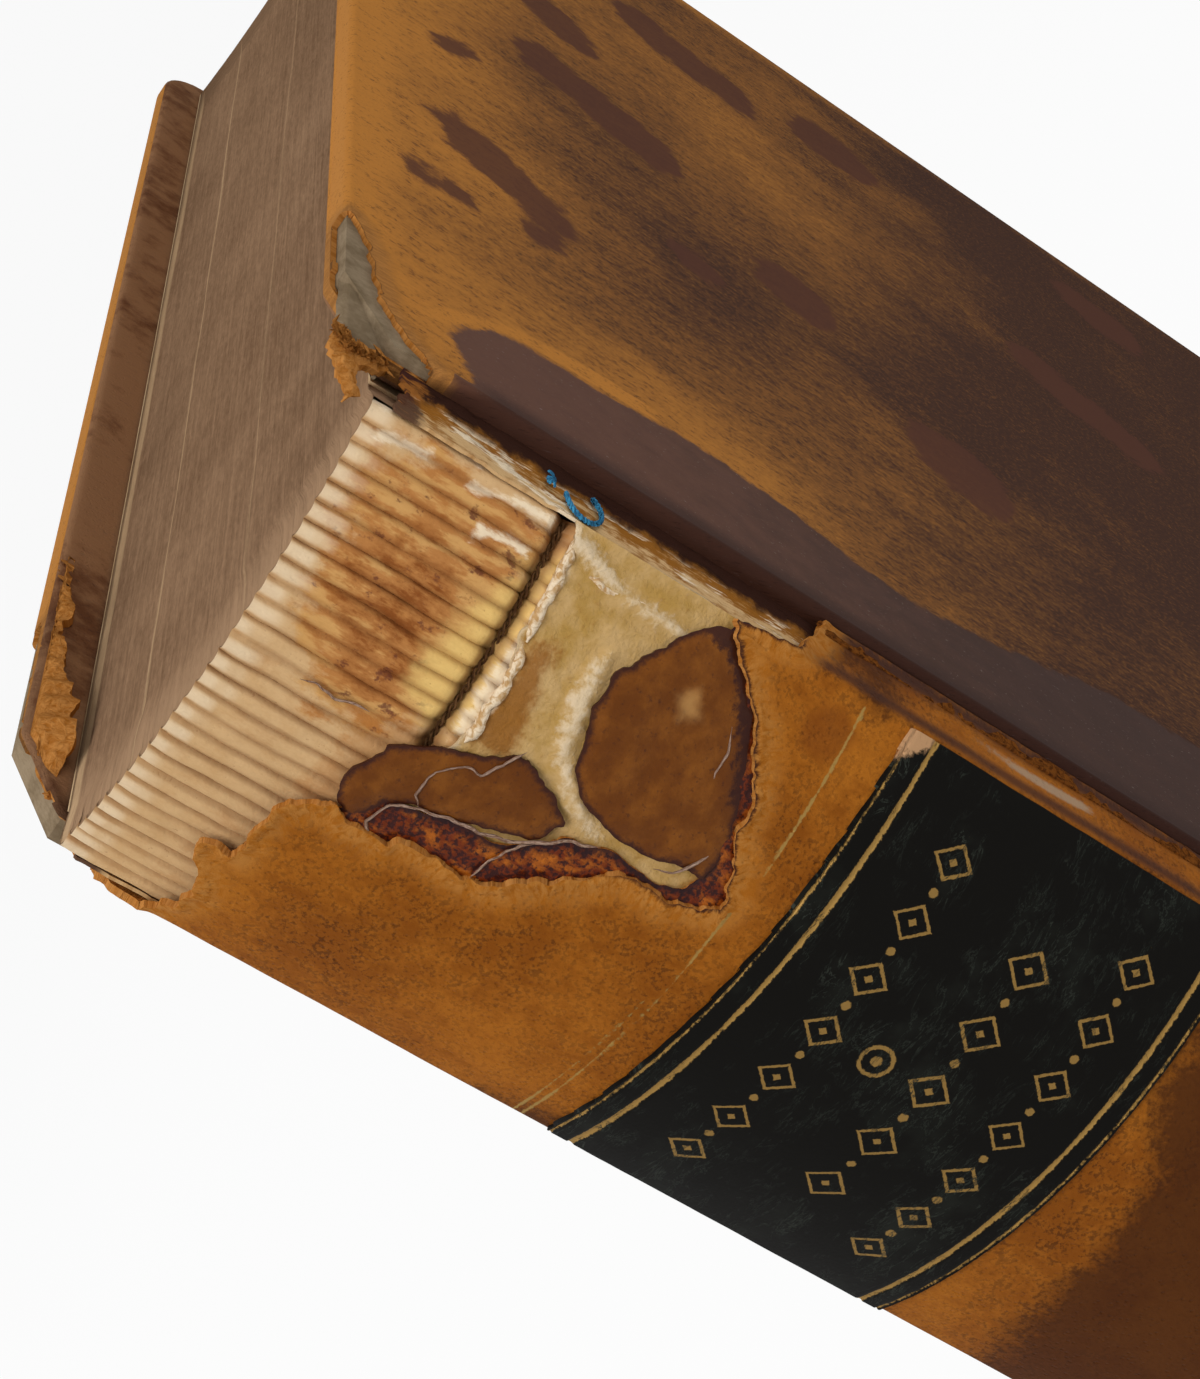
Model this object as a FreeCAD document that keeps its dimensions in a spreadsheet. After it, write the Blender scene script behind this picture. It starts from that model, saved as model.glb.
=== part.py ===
import FreeCAD, Part
import math
import os
import re
import Sketcher

# Antique full-leather octavo book, standing on its tail, spine to the left, front cover towards -Y.
# Every piece is drawn about the shoulder line: X runs from the spine's shoulders to the fore-edge,
# Y across the thickness, Z from the floor to the head.

SIZES = {
    # text block
    "TextHeight": 230.0,
    "TextThick": 32.4,
    "ShoulderRise": 0.7,
    "ShoulderRun": 3.2,
    "RoundRise": 4.9,
    "ForeHollow": 4.6,
    "SectionCount": 28,
    "FoldDepth": 0.3,
    "FoldRound": 0.08,
    "FoldLand": 0.3,
    # boards
    "BoardWidth": 155.0,
    "BoardThick": 1.8,
    "Square": 3.3,
    "JointGap": 3.9,
    "BackCutRise": 3.3,
    "BackCutRun": 7.1,
    "CornerRadius": 5.0,
    # leather and paper
    "CoverThick": 0.4,
    "TurnInThick": 0.35,
    "TurnInWidth": 14.0,
    "JointLap": 0.4,
    "WearDepth": 1.5,
    "PasteInset": 4.0,
    "PasteThick": 0.15,
    "LeafThick": 0.2,
    "LeafClear": 0.1,
    "LeafSetIn": 0.4,
    "LiningThick": 0.25,
    "LiningSetIn": 1.5,
    "LayerClear": 0.05,
    "SpineLeather": 0.5,
    "LipClear": 0.3,
    "LipDip": 0.5,
    "ScrapThick": 0.25,
    # label and its stamped fillets
    "LabelDrop": 36.5,
    "LabelHeight": 25.4,
    "LabelThick": 0.3,
    "FilletInset": 1.9,
    "FilletWidth": 0.5,
    "FilletDepth": 0.12,
    # sewing
    "CordDia": 1.8,
    "CordPitch": 52.0,
    "SawWidth": 2.0,
    "SawDepth": 2.0,
    "KettleInset": 13.0,
    "KettleWidth": 1.5,
    "KettleDepth": 0.9,
    "ThreadDia": 0.7,
    "KnotHeight": 1.1,
    "KnotWidth": 0.75,
    "KnotSink": 0.05,
    "SlipRoot": 3.0,
    "SlipSpread": 6.0,
    "SlipLength": 14.0,
    "SlipDepth": 0.6,
    "SlipThick": 0.5,
    "SlipClear": 0.1,
    # bands at the ends of the spine
    "BandDia": 1.8,
    "BandSetIn": 0.6,
    "CapFoot": 0.4,
    "CapThick": 0.8,
    "CapDepth": 2.4,
    "TieLoop": 1.1,
    "TieDia": 0.45,
    "TieSweep": 210.0,
}

WORKED_OUT = {
    "BoardInner": "TextThick / 2 + LeafThick + LeafClear + PasteThick + TurnInThick",
    "BoardOuter": "BoardInner + BoardThick",
    "SkinOuter": "BoardOuter + CoverThick",
    "BoardFoot": "CoverThick",
    "BoardHead": "BoardFoot + TextHeight + 2 * Square",
    "BoardFore": "JointGap + BoardWidth",
    "SkinHead": "BoardHead + CoverThick",
    "SkinFore": "BoardFore + CoverThick",
    "CutLength": "sqrt(BackCutRise ^ 2 + BackCutRun ^ 2)",
    "TextFoot": "BoardFoot + Square",
    "TextHead": "TextFoot + TextHeight",
    "TextMiddle": "(TextFoot + TextHead) / 2",
    "TextFore": "BoardFore - Square",
    "Shoulder": "TextThick / 2 + ShoulderRise",
    "SpineRadius": "(Shoulder ^ 2 + RoundRise ^ 2) / (2 * RoundRise)",
    "ForeRadius": "(TextThick ^ 2 / 4 + ForeHollow ^ 2) / (2 * ForeHollow)",
    "ArcCentre": "SpineRadius - RoundRise",
    "HalfAngle": "asin(Shoulder / SpineRadius)",
    "FoldPitch": "2 * HalfAngle / SectionCount",
    "FoldGap": "2 * SpineRadius * sin(FoldPitch / 2) - FoldLand",
    "LiningInner": "SpineRadius + LayerClear",
    "LiningOuter": "LiningInner + LiningThick",
    "LeatherInner": "LiningOuter + LayerClear",
    "LeatherOuter": "LeatherInner + SpineLeather",
    "LabelInner": "LeatherOuter + LayerClear",
    "LabelOuter": "LabelInner + LabelThick",
    "LabelHead": "TextHead - LabelDrop",
    "LabelFoot": "LabelHead - LabelHeight",
    "LipEdge": "JointGap - JointLap - LipClear",
    "LipOuter": "SkinOuter - LipDip",
    "SpineCrown": "ArcCentre - LabelOuter",
    "ShoulderX": "0 - (SkinFore + SpineCrown) / 2",
}

FRONT, BACK = "front", "back"
CORD_STEPS = (-1, 0, 1)
# how far a cutting outline runs past what it cuts
OVERRUN = 5.0
# flats round a cord or thread
ROD_SIDES = 8

# The torn head of the spine leather, from the back joint to the front joint. Each point is its place
# across the spine, as a share of the shoulder's half thickness (positive towards the back cover),
# and its depth below the head of the text block in millimetres.
LEATHER_TEAR = (
    (1.12, 3.0), (0.98, 6.2), (0.74, 7.4), (0.58, 5.4), (0.50, 7.9), (0.27, 8.2), (0.18, 10.4),
    (0.15, 14.4), (0.13, 19.0), (0.03, 22.1), (-0.12, 25.3), (-0.17, 32.6), (-0.38, 31.7),
    (-0.60, 29.8), (-0.81, 27.4), (-0.94, 24.6), (-1.00, 27.0), (-1.12, 30.0),
)
LINING_TEAR = (
    (1.00, 9.5), (0.24, 11.2), (-0.20, 15.2), (-0.44, 15.7), (-0.66, 13.8), (-1.00, 13.6),
)
UPPER_SCRAP = (
    (-0.20, 24.6), (-0.24, 31.2), (-0.40, 30.5), (-0.58, 28.6), (-0.74, 26.6), (-0.88, 24.0),
    (-0.82, 19.6), (-0.62, 18.2), (-0.40, 20.4),
)
LOWER_SCRAP = (
    (0.12, 10.9), (0.09, 18.6), (-0.02, 21.7), (-0.15, 24.3), (-0.24, 23.0), (-0.36, 19.5),
    (-0.27, 16.6), (-0.14, 14.2), (0.00, 10.4),
)

# Where the cover leather is worn off face and edge at the head of the joint: distance along the head
# edge from the joint, and depth below the board's head edge.
FRONT_WEAR = (
    (17.8, -2.0), (17.4, 0.2), (15.3, 1.0), (11.7, 1.6), (5.2, 2.3), (3.2, 3.1), (1.1, 4.1),
    (-0.2, 5.6), (-2.0, 7.3), (-2.0, -2.0),
)
BACK_WEAR = (
    (23.9, -2.0), (23.5, 0.1), (17.0, 0.6), (10.2, 1.1), (7.4, 1.7), (4.2, 3.0), (1.6, 4.6),
    (-2.0, 6.8), (-2.0, -2.0),
)


def bind(text):
    """An expression on the size sheet, from one written with the bare names of the sizes."""
    return re.sub(r"\b([A-Z]\w*)", r"Sizes.\1", text)


def fill_sheet(doc):
    """Write the driving sizes and those worked out from them into the sheet."""
    sheet = doc.addObject("Spreadsheet::Sheet", "Sizes")
    rows = [(name, str(size)) for name, size in SIZES.items()]
    rows += [(name, "=" + formula) for name, formula in WORKED_OUT.items()]
    for row, (name, content) in enumerate(rows, start=1):
        sheet.set(f"A{row}", name)
        sheet.set(f"B{row}", content)
        sheet.setAlias(f"B{row}", name)
    doc.recompute()
    return sheet


def value(doc, text):
    """The number that an expression on the sheet comes to."""
    found = doc.Sizes.evalExpression(bind(text))
    return float(getattr(found, "Value", found))


def new_body(doc, name):
    """A body that stands on the shoulder line."""
    body = doc.addObject("PartDesign::Body", "Body_" + name)
    body.Label = name
    body.setExpression("Placement.Base.x", bind("ShoulderX"))
    return body


def new_sketch(body, name, plane, lift="0", shift="0", turn=None):
    """A sketch on one of the body's origin planes, lifted off it and shifted along its first axis."""
    sketch = body.newObject("Sketcher::SketchObject", name)
    support = next(f for f in body.Origin.OriginFeatures if f.Role == plane)
    sketch.AttachmentSupport = [(support, "")]
    sketch.MapMode = "FlatFace"
    if turn:
        sketch.AttachmentOffset = FreeCAD.Placement(
            FreeCAD.Vector(), FreeCAD.Rotation(FreeCAD.Vector(0, 0, 1), value(body.Document, turn)))
        sketch.setExpression("AttachmentOffset.Rotation.Angle", bind(turn))
    sketch.setExpression("AttachmentOffset.Base.x", bind(shift))
    sketch.setExpression("AttachmentOffset.Base.z", bind(lift))
    return sketch


def outline(sketch, stations):
    """Draw one closed outline whose corners and radii are bound to the sheet.

    A station is (x, y) where the run to the next one is straight, and (x, y, radius, side) where it
    is an arc, which bulges to the left of the way there for side 1 and to the right for -1.
    """
    doc = sketch.Document
    corners = [FreeCAD.Vector(value(doc, s[0]), value(doc, s[1]), 0) for s in stations]
    drawn = []
    for number, station in enumerate(stations):
        begin = corners[number]
        end = corners[(number + 1) % len(corners)]
        if len(station) == 2:
            drawn.append((sketch.addGeometry(Part.LineSegment(begin, end)), 1, 2))
            continue
        radius = value(doc, station[2])
        run = end - begin
        left = FreeCAD.Vector(-run.y, run.x, 0).normalize()
        reach = math.sqrt(max(radius ** 2 - run.Length ** 2 / 4, 0))
        centre = (begin + end) / 2 - left * station[3] * reach
        first, last = (end, begin) if station[3] > 0 else (begin, end)
        angles = [math.atan2(p.y - centre.y, p.x - centre.x) for p in (first, last)]
        circle = Part.Circle(centre, FreeCAD.Vector(0, 0, 1), radius)
        index = sketch.addGeometry(Part.ArcOfCircle(circle, *angles))
        drawn.append((index, 2, 1) if station[3] > 0 else (index, 1, 2))
    for number, station in enumerate(stations):
        index, start, _ = drawn[number]
        before, _, finish = drawn[number - 1]
        sketch.addConstraint(Sketcher.Constraint("Coincident", before, finish, index, start))
        for kind, place in (("DistanceX", station[0]), ("DistanceY", station[1])):
            size = value(doc, place)
            held = sketch.addConstraint(Sketcher.Constraint(kind, index, start, size))
            sketch.setExpression(f"Constraints[{held}]", bind(place))
        if len(station) > 2:
            size = value(doc, station[2])
            held = sketch.addConstraint(Sketcher.Constraint("Radius", index, size))
            sketch.setExpression(f"Constraints[{held}]", bind(station[2]))


def pad(body, sketch, length):
    """Grow the sketch along its own normal."""
    feature = body.newObject("PartDesign::Pad", "Pad_" + sketch.Name)
    feature.Profile = sketch
    feature.setExpression("Length", bind(length))
    return feature


def pocket_through(body, sketch):
    """Cut the sketch through everything, both ways."""
    feature = body.newObject("PartDesign::Pocket", "Pocket_" + sketch.Name)
    feature.Profile = sketch
    feature.SideType = "Symmetric"
    feature.Type = "ThroughAll"
    return feature


def pocket_to(body, sketch, depth):
    """Cut the sketch to a depth along its own normal."""
    feature = body.newObject("PartDesign::Pocket", "Pocket_" + sketch.Name)
    feature.Profile = sketch
    feature.Reversed = True
    feature.setExpression("Length", bind(depth))
    return feature


def ring_cut(body, sketch):
    """Turn the sketch about the spine's own axis and cut it away."""
    feature = body.newObject("PartDesign::Groove", "Groove_" + sketch.Name)
    feature.Profile = sketch
    feature.ReferenceAxis = (sketch, ["V_Axis"])
    feature.Midplane = True
    feature.setExpression("Angle", bind("2 * HalfAngle + 8deg"))
    return feature


def box_outline(x_low, y_low, x_high, y_high):
    """The four corners of an upright rectangle."""
    return [(x_low, y_low), (x_high, y_low), (x_high, y_high), (x_low, y_high)]


def arc_band(inner, outer):
    """Stations of a band round the spine between two radii, from shoulder to shoulder."""
    def end(radius, sign):
        return f"ArcCentre - {radius} * cos(HalfAngle)", f"{sign} * {radius} * sin(HalfAngle)"
    return [
        (*end(outer, 1), outer, -1),
        end(outer, -1),
        (*end(inner, -1), inner, 1),
        end(inner, 1),
    ]


def across_spine(points):
    """Stations on the spine, from shares of the shoulder's half thickness and depths from the head."""
    return [(f"Shoulder * ({share})", f"TextHead - {drop}") for share, drop in points]


def torn_away(points):
    """Stations round what is torn away above a line across the spine."""
    edge = across_spine(points)
    (back, back_drop), (front, front_drop) = edge[0], edge[-1]
    above = f"TextHead + {OVERRUN}"
    return edge + [
        (f"{front} - {OVERRUN}", front_drop),
        (f"{front} - {OVERRUN}", above),
        (f"{back} + {OVERRUN}", above),
        (f"{back} + {OVERRUN}", back_drop),
    ]


def make_text_block(doc):
    """The sewn leaves: rounded and backed spine with its section folds, hollow fore-edge, saw cuts."""
    body = new_body(doc, "text_block")
    section = new_sketch(body, "leaves", "XY_Plane", lift="TextFoot")
    outline(section, [
        ("0", "0 - Shoulder"),
        ("ShoulderRun", "0 - TextThick / 2"),
        ("TextFore", "0 - TextThick / 2", "ForeRadius", 1),
        ("TextFore", "TextThick / 2"),
        ("ShoulderRun", "TextThick / 2"),
        ("0", "Shoulder", "SpineRadius", -1),
    ])
    pad(body, section, "TextHeight")

    valley = new_sketch(body, "valley", "XY_Plane", lift="TextFoot", shift="ArcCentre",
                        turn="FoldPitch * (1 - SectionCount / 2)")
    outline(valley, [
        ("0 - SpineRadius - 1", "FoldGap / 2"),
        ("0 - SpineRadius - 1", "0 - FoldGap / 2"),
        ("0 - SpineRadius", "0 - FoldGap / 2"),
        ("FoldRound - SpineRadius", "0 - FoldGap / 4"),
        ("FoldDepth - SpineRadius", "0"),
        ("FoldRound - SpineRadius", "FoldGap / 4"),
        ("0 - SpineRadius", "FoldGap / 2"),
    ])
    cut = pocket_to(body, valley, "TextHeight")
    doc.recompute()
    folds = body.newObject("PartDesign::PolarPattern", "Folds")
    folds.Originals = [cut]
    folds.Axis = (valley, ["N_Axis"])
    folds.Mode = "Extent"
    folds.setExpression("Angle", bind("FoldPitch * (SectionCount - 2)"))
    folds.setExpression("Occurrences", bind("SectionCount - 1"))
    body.Tip = folds

    cuts = new_sketch(body, "saw_cuts", "XZ_Plane", shift="ArcCentre")
    for step in CORD_STEPS:
        middle = f"TextMiddle + {step} * CordPitch"
        outline(cuts, box_outline("0 - SpineRadius - 1", middle + " - SawWidth / 2",
                                  "SawDepth - SpineRadius", middle + " + SawWidth / 2"))
    for middle in ("TextHead - KettleInset", "TextFoot + KettleInset"):
        outline(cuts, box_outline("0 - SpineRadius - 1", middle + " - KettleWidth / 2",
                                  "KettleDepth - SpineRadius", middle + " + KettleWidth / 2"))
    ring_cut(body, cuts)
    return body


def rod_section(x_middle, y_middle, width):
    """An eight-sided section of a cord or thread, as wide across its flats as the cord is thick."""
    reach = f"({width}) / (2 * cos({180 / ROD_SIDES}deg))"
    return [
        (f"{x_middle} + {reach} * cos({turn}deg)", f"{y_middle} + {reach} * sin({turn}deg)")
        for turn in (360 * (side + 0.5) / ROD_SIDES for side in range(ROD_SIDES))
    ]


def rod_round_spine(body, name, radius, width, height, sweep="2 * HalfAngle"):
    """A cord or thread that lies round the spine at one height, from shoulder to shoulder."""
    section = new_sketch(body, "section_" + name, "XZ_Plane", shift="ArcCentre")
    outline(section, rod_section(f"0 - ({radius})", height, width))
    rod = body.newObject("PartDesign::Revolution", "Rod_" + name)
    rod.Profile = section
    rod.ReferenceAxis = (section, ["V_Axis"])
    rod.Midplane = True
    rod.setExpression("Angle", bind(sweep))
    return rod


def make_cord(doc, number, step):
    """A sewing cord that lies in its saw cut."""
    body = new_body(doc, f"sewing_cord_{number}")
    rod_round_spine(body, f"cord_{number}", "SpineRadius - SawDepth + LayerClear + CordDia / 2",
                    "CordDia", f"TextMiddle + {step} * CordPitch")
    return body


def make_kettle_stitch(doc, name, height):
    """The chain of thread that links section to section, with a small knot on each fold."""
    body = new_body(doc, name)
    middle = "SpineRadius - KettleDepth + LayerClear + ThreadDia / 2"
    rod_round_spine(body, name, middle, "ThreadDia", height, sweep="2 * HalfAngle - FoldPitch / 2")
    doc.recompute()

    knot = new_sketch(body, "knot_" + name, "XY_Plane", lift=f"{height} - KnotHeight / 2",
                      shift="ArcCentre", turn="FoldPitch * (1 - SectionCount) / 2")
    inner, outer = f"0 - ({middle})", "KnotSink - SpineRadius"
    half = "KnotWidth / 2"
    outline(knot, [
        (outer, half),
        (outer, f"0 - {half}"),
        (inner, f"0 - {half}"),
        (inner, half),
    ])
    lump = pad(body, knot, "KnotHeight")
    doc.recompute()
    knots = body.newObject("PartDesign::PolarPattern", "Knots_" + name)
    knots.Originals = [lump]
    knots.Axis = (knot, ["N_Axis"])
    knots.Mode = "Extent"
    knots.setExpression("Angle", bind("FoldPitch * (SectionCount - 1)"))
    knots.setExpression("Occurrences", bind("SectionCount"))
    body.Tip = knots
    return body


def make_flyleaf(doc, side):
    """The free endpaper that lies on the text block."""
    leaf = doc.addObject("Part::Box", "Leaf_" + side)
    leaf.Label = side + "_flyleaf"
    leaf.setExpression("Length", bind("TextFore - ShoulderRun - 2 * LeafSetIn"))
    leaf.setExpression("Width", bind("LeafThick"))
    leaf.setExpression("Height", bind("TextHeight"))
    leaf.setExpression("Placement.Base.x", bind("ShoulderX + ShoulderRun + LeafSetIn"))
    low = "0 - TextThick / 2 - LeafThick" if side == FRONT else "TextThick / 2"
    leaf.setExpression("Placement.Base.y", bind(low))
    leaf.setExpression("Placement.Base.z", bind("TextFoot"))
    return leaf


def level(side, inner, outer):
    """How far a layer's sketch is lifted off the middle plane, towards the front, before its pad."""
    return inner if side == FRONT else f"0 - ({outer})"


def board_edge():
    """Outline of a board from the tail of the joint, round the fore-edge, to the head of the joint."""
    return [
        ("JointGap", "BoardFoot + BackCutRise"),
        ("JointGap + BackCutRun", "BoardFoot"),
        ("BoardFore - CornerRadius", "BoardFoot", "CornerRadius", -1),
        ("BoardFore", "BoardFoot + CornerRadius"),
        ("BoardFore", "BoardHead - CornerRadius", "CornerRadius", -1),
        ("BoardFore - CornerRadius", "BoardHead"),
        ("JointGap + BackCutRun", "BoardHead"),
        ("JointGap", "BoardHead - BackCutRise"),
    ]


def skin_edge(start="JointGap"):
    """Outline of the leather round a board, one leather's thickness outside it."""
    rise = "BackCutRise - CoverThick * CutLength / BackCutRun"
    run = "BackCutRun - CoverThick * (CutLength - BackCutRun) / BackCutRise"
    radius = "CornerRadius + CoverThick"
    return [
        (start, f"BoardFoot + {rise}"),
        (f"JointGap + {run}", "0"),
        ("BoardFore - CornerRadius", "0", radius, -1),
        ("SkinFore", "BoardFoot + CornerRadius"),
        ("SkinFore", "BoardHead - CornerRadius", radius, -1),
        ("BoardFore - CornerRadius", "SkinHead"),
        (f"JointGap + {run}", "SkinHead"),
        (start, f"BoardHead - ({rise})"),
    ]


def window_edge():
    """Inner edge of the turned-in leather, from the tail of the joint to its head."""
    return [
        ("JointGap", "BoardFoot + TurnInWidth"),
        ("BoardFore - TurnInWidth", "BoardFoot + TurnInWidth"),
        ("BoardFore - TurnInWidth", "BoardHead - TurnInWidth"),
        ("JointGap", "BoardHead - TurnInWidth"),
    ]


def backwards(stations):
    """The same open run of stations taken from its other end."""
    turned = []
    for number in range(len(stations) - 1, -1, -1):
        bend = stations[number - 1][2:] if number else ()
        turned.append((*stations[number][:2], *((bend[0], -bend[1]) if bend else ())))
    return turned


def slip_stations(step):
    """A fanned-out slip on a board: narrow at the joint, spread at its far end."""
    middle = f"TextMiddle + {step} * CordPitch"
    return [
        ("JointGap", f"{middle} - SlipRoot / 2"),
        ("JointGap + SlipLength", f"{middle} - SlipSpread / 2"),
        ("JointGap + SlipLength", f"{middle} + SlipSpread / 2"),
        ("JointGap", f"{middle} + SlipRoot / 2"),
    ]


def make_board(doc, side):
    """A millboard with its corners cut back at the joint and beds for the laced-in slips."""
    body = new_body(doc, side + "_board")
    sheet = new_sketch(body, "board_" + side, "XZ_Plane", lift=level(side, "BoardInner", "BoardOuter"))
    outline(sheet, board_edge())
    pad(body, sheet, "BoardThick")
    beds = new_sketch(body, "beds_" + side, "XZ_Plane",
                      lift=level(side, "BoardOuter - SlipDepth", "BoardOuter"))
    for step in CORD_STEPS:
        outline(beds, slip_stations(step))
    pocket_to(body, beds, "SlipDepth")
    return body


def make_slips(doc, side):
    """The frayed ends of the three cords, pasted down in their beds on the board."""
    middle_of_bed = "BoardOuter - SlipDepth + SlipClear / 2"
    slips = []
    for number, step in enumerate(CORD_STEPS, start=1):
        slip = doc.addObject("Part::Wedge", f"Slip_{side}_{number}")
        for name, size in (
            ("Ymin", "0"), ("Ymax", "SlipLength - 2 * SlipClear"),
            ("Xmin", "0"), ("Xmax", "SlipRoot - 2 * SlipClear"),
            ("Zmin", "0"), ("Zmax", "SlipThick"),
            ("X2min", "(SlipRoot - SlipSpread) / 2"), ("X2max", "(SlipRoot + SlipSpread) / 2 - 2 * SlipClear"),
            ("Z2min", "0"), ("Z2max", "SlipThick"),
        ):
            slip.setExpression(name, bind(size))
        # the wedge's own X runs up the board, its Y across it and its Z through it
        across = FreeCAD.Rotation(FreeCAD.Vector(0, 0, 1), FreeCAD.Vector(1, 0, 0),
                                  FreeCAD.Vector(0, 1, 0), "ZXY")
        slip.Placement = FreeCAD.Placement(FreeCAD.Vector(), across)
        slip.setExpression("Placement.Base.x", bind("ShoulderX + JointGap + SlipClear"))
        low = middle_of_bed if side == BACK else f"0 - ({middle_of_bed}) - SlipThick"
        slip.setExpression("Placement.Base.y", bind(low))
        slip.setExpression("Placement.Base.z",
                           bind(f"TextMiddle + {step} * CordPitch - SlipRoot / 2 + SlipClear"))
        slips.append(slip)
    group = doc.addObject("Part::Compound", "Slips_" + side)
    group.Label = side + "_cord_slips"
    group.Links = slips
    return group


def make_cover_leather(doc, side, wear):
    """The leather over one board: face, edges and turn-ins, worn off at the head of the joint."""
    body = new_body(doc, side + "_cover_leather")
    face = new_sketch(body, "face_" + side, "XZ_Plane", lift=level(side, "BoardOuter", "SkinOuter"))
    outline(face, skin_edge("JointGap - JointLap"))
    pad(body, face, "CoverThick")
    rim = new_sketch(body, "rim_" + side, "XZ_Plane", lift=level(side, "BoardInner", "BoardOuter"))
    outline(rim, skin_edge() + backwards(board_edge()))
    pad(body, rim, "BoardThick")
    turn_in = new_sketch(body, "turn_in_" + side, "XZ_Plane",
                         lift=level(side, "BoardInner - TurnInThick", "BoardInner"))
    outline(turn_in, skin_edge() + backwards(window_edge()))
    pad(body, turn_in, "TurnInThick")
    worn = new_sketch(body, "worn_" + side, "XZ_Plane",
                      lift=level(side, "SkinOuter - WearDepth", "SkinOuter"))
    outline(worn, [(f"JointGap + {along}", f"BoardHead - {drop}") for along, drop in wear])
    pocket_to(body, worn, "WearDepth")
    return body


def make_pastedown(doc, side):
    """The endpaper pasted on the inside of a board, stepping down inside the turn-ins."""
    body = new_body(doc, side + "_pastedown")
    inner = "BoardInner - TurnInThick"
    lap = new_sketch(body, "lap_" + side, "XZ_Plane", lift=level(side, inner + " - PasteThick", inner))
    outline(lap, [
        ("JointGap", "BoardFoot + PasteInset + BackCutRise"),
        ("JointGap + BackCutRun", "BoardFoot + PasteInset"),
        ("BoardFore - PasteInset", "BoardFoot + PasteInset"),
        ("BoardFore - PasteInset", "BoardHead - PasteInset"),
        ("JointGap + BackCutRun", "BoardHead - PasteInset"),
        ("JointGap", "BoardHead - PasteInset - BackCutRise"),
    ])
    pad(body, lap, "PasteThick")
    bed = new_sketch(body, "bed_" + side, "XZ_Plane", lift=level(side, inner, "BoardInner"))
    outline(bed, window_edge())
    pad(body, bed, "TurnInThick")
    return body


def make_lining(doc):
    """The paper lining pasted on the spine, torn away at the head."""
    body = new_body(doc, "spine_lining")
    band = new_sketch(body, "lining_band", "XY_Plane", lift="TextFoot + LiningSetIn")
    outline(band, arc_band("LiningInner", "LiningOuter"))
    pad(body, band, "TextHeight - 2 * LiningSetIn")
    tear = new_sketch(body, "lining_tear", "YZ_Plane")
    outline(tear, torn_away(LINING_TEAR))
    pocket_through(body, tear)
    return body


def lip_end(lift, sign):
    """Where the spine leather ends, beside the edge of a board."""
    return "LipEdge", f"{sign} * (LipOuter - {lift})"


def make_spine_leather(doc):
    """The leather over the spine, from joint to joint, with the cap at its tail and its torn head."""
    body = new_body(doc, "spine_leather")
    outer_back, outer_front, inner_front, inner_back = arc_band("LeatherInner", "LeatherOuter")
    wrap = new_sketch(body, "wrap", "XY_Plane", lift="CapFoot")
    outline(wrap, [
        lip_end("0", 1),
        outer_back,
        outer_front,
        lip_end("0", -1),
        lip_end("SpineLeather", -1),
        inner_front,
        inner_back,
        lip_end("SpineLeather", 1),
    ])
    pad(body, wrap, "TextHead - CapFoot")
    cap = new_sketch(body, "cap", "XY_Plane", lift="CapFoot")
    outline(cap, arc_band("(SpineRadius - CapDepth)", "(LeatherInner + SpineLeather / 2)"))
    pad(body, cap, "CapThick")
    tear = new_sketch(body, "leather_tear", "YZ_Plane")
    outline(tear, torn_away(LEATHER_TEAR))
    pocket_through(body, tear)
    return body


def make_scrap(doc, name, points):
    """A hardened scrap of the torn leather's under layer, left on the lining."""
    body = new_body(doc, name)
    blank = new_sketch(body, "blank_" + name, "YZ_Plane", lift="SpineCrown")
    outline(blank, across_spine(points))
    pad(body, blank, "0 - SpineCrown")
    for face, radius, far in (
        ("outside", "(LeatherInner + ScrapThick)", "SpineCrown - 1"),
        ("inside", "LeatherInner", "TextFore"),
    ):
        trim = new_sketch(body, f"{face}_{name}", "XY_Plane")
        back, front = arc_band(radius, radius)[:2]
        outline(trim, [back, front, (far, front[1]), (far, back[1])])
        pocket_through(body, trim)
    return body


def make_label(doc):
    """The thin leather title label, with two stamped fillets near each end."""
    body = new_body(doc, "title_label")
    band = new_sketch(body, "label_band", "XY_Plane", lift="LabelFoot")
    outline(band, arc_band("LabelInner", "LabelOuter"))
    pad(body, band, "LabelHeight")
    stamp = new_sketch(body, "fillets", "XZ_Plane", shift="ArcCentre")
    for low in ("LabelFoot + FilletInset", "LabelHead - FilletInset - FilletWidth"):
        outline(stamp, box_outline("0 - LabelOuter - 1", low,
                                   "FilletDepth - LabelOuter", low + " + FilletWidth"))
    ring_cut(body, stamp)
    return body


def make_tail_band(doc):
    """The stuck-on endband at the tail, under the cap of the spine leather."""
    body = new_body(doc, "tail_endband")
    rod_round_spine(body, "tail_band", "SpineRadius - BandSetIn", "BandDia",
                    "TextFoot - LayerClear - BandDia / 2")
    return body


def make_tie_down(doc):
    """What is left of the lost head endband: a loop of its tie-down thread at the front shoulder."""
    body = new_body(doc, "head_band_tie_down")
    section = new_sketch(body, "section_tie_down", "XY_Plane", lift="TextHead - KettleInset",
                         shift="TieLoop")
    outline(section, rod_section(
        "0 - TieLoop", "0 - LiningOuter * sin(HalfAngle) - LayerClear - TieDia / 2", "TieDia"))
    loop = body.newObject("PartDesign::Revolution", "Loop")
    loop.Profile = section
    loop.ReferenceAxis = (section, ["V_Axis"])
    loop.setExpression("Angle", bind("TieSweep * 1deg"))
    return body


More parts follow.
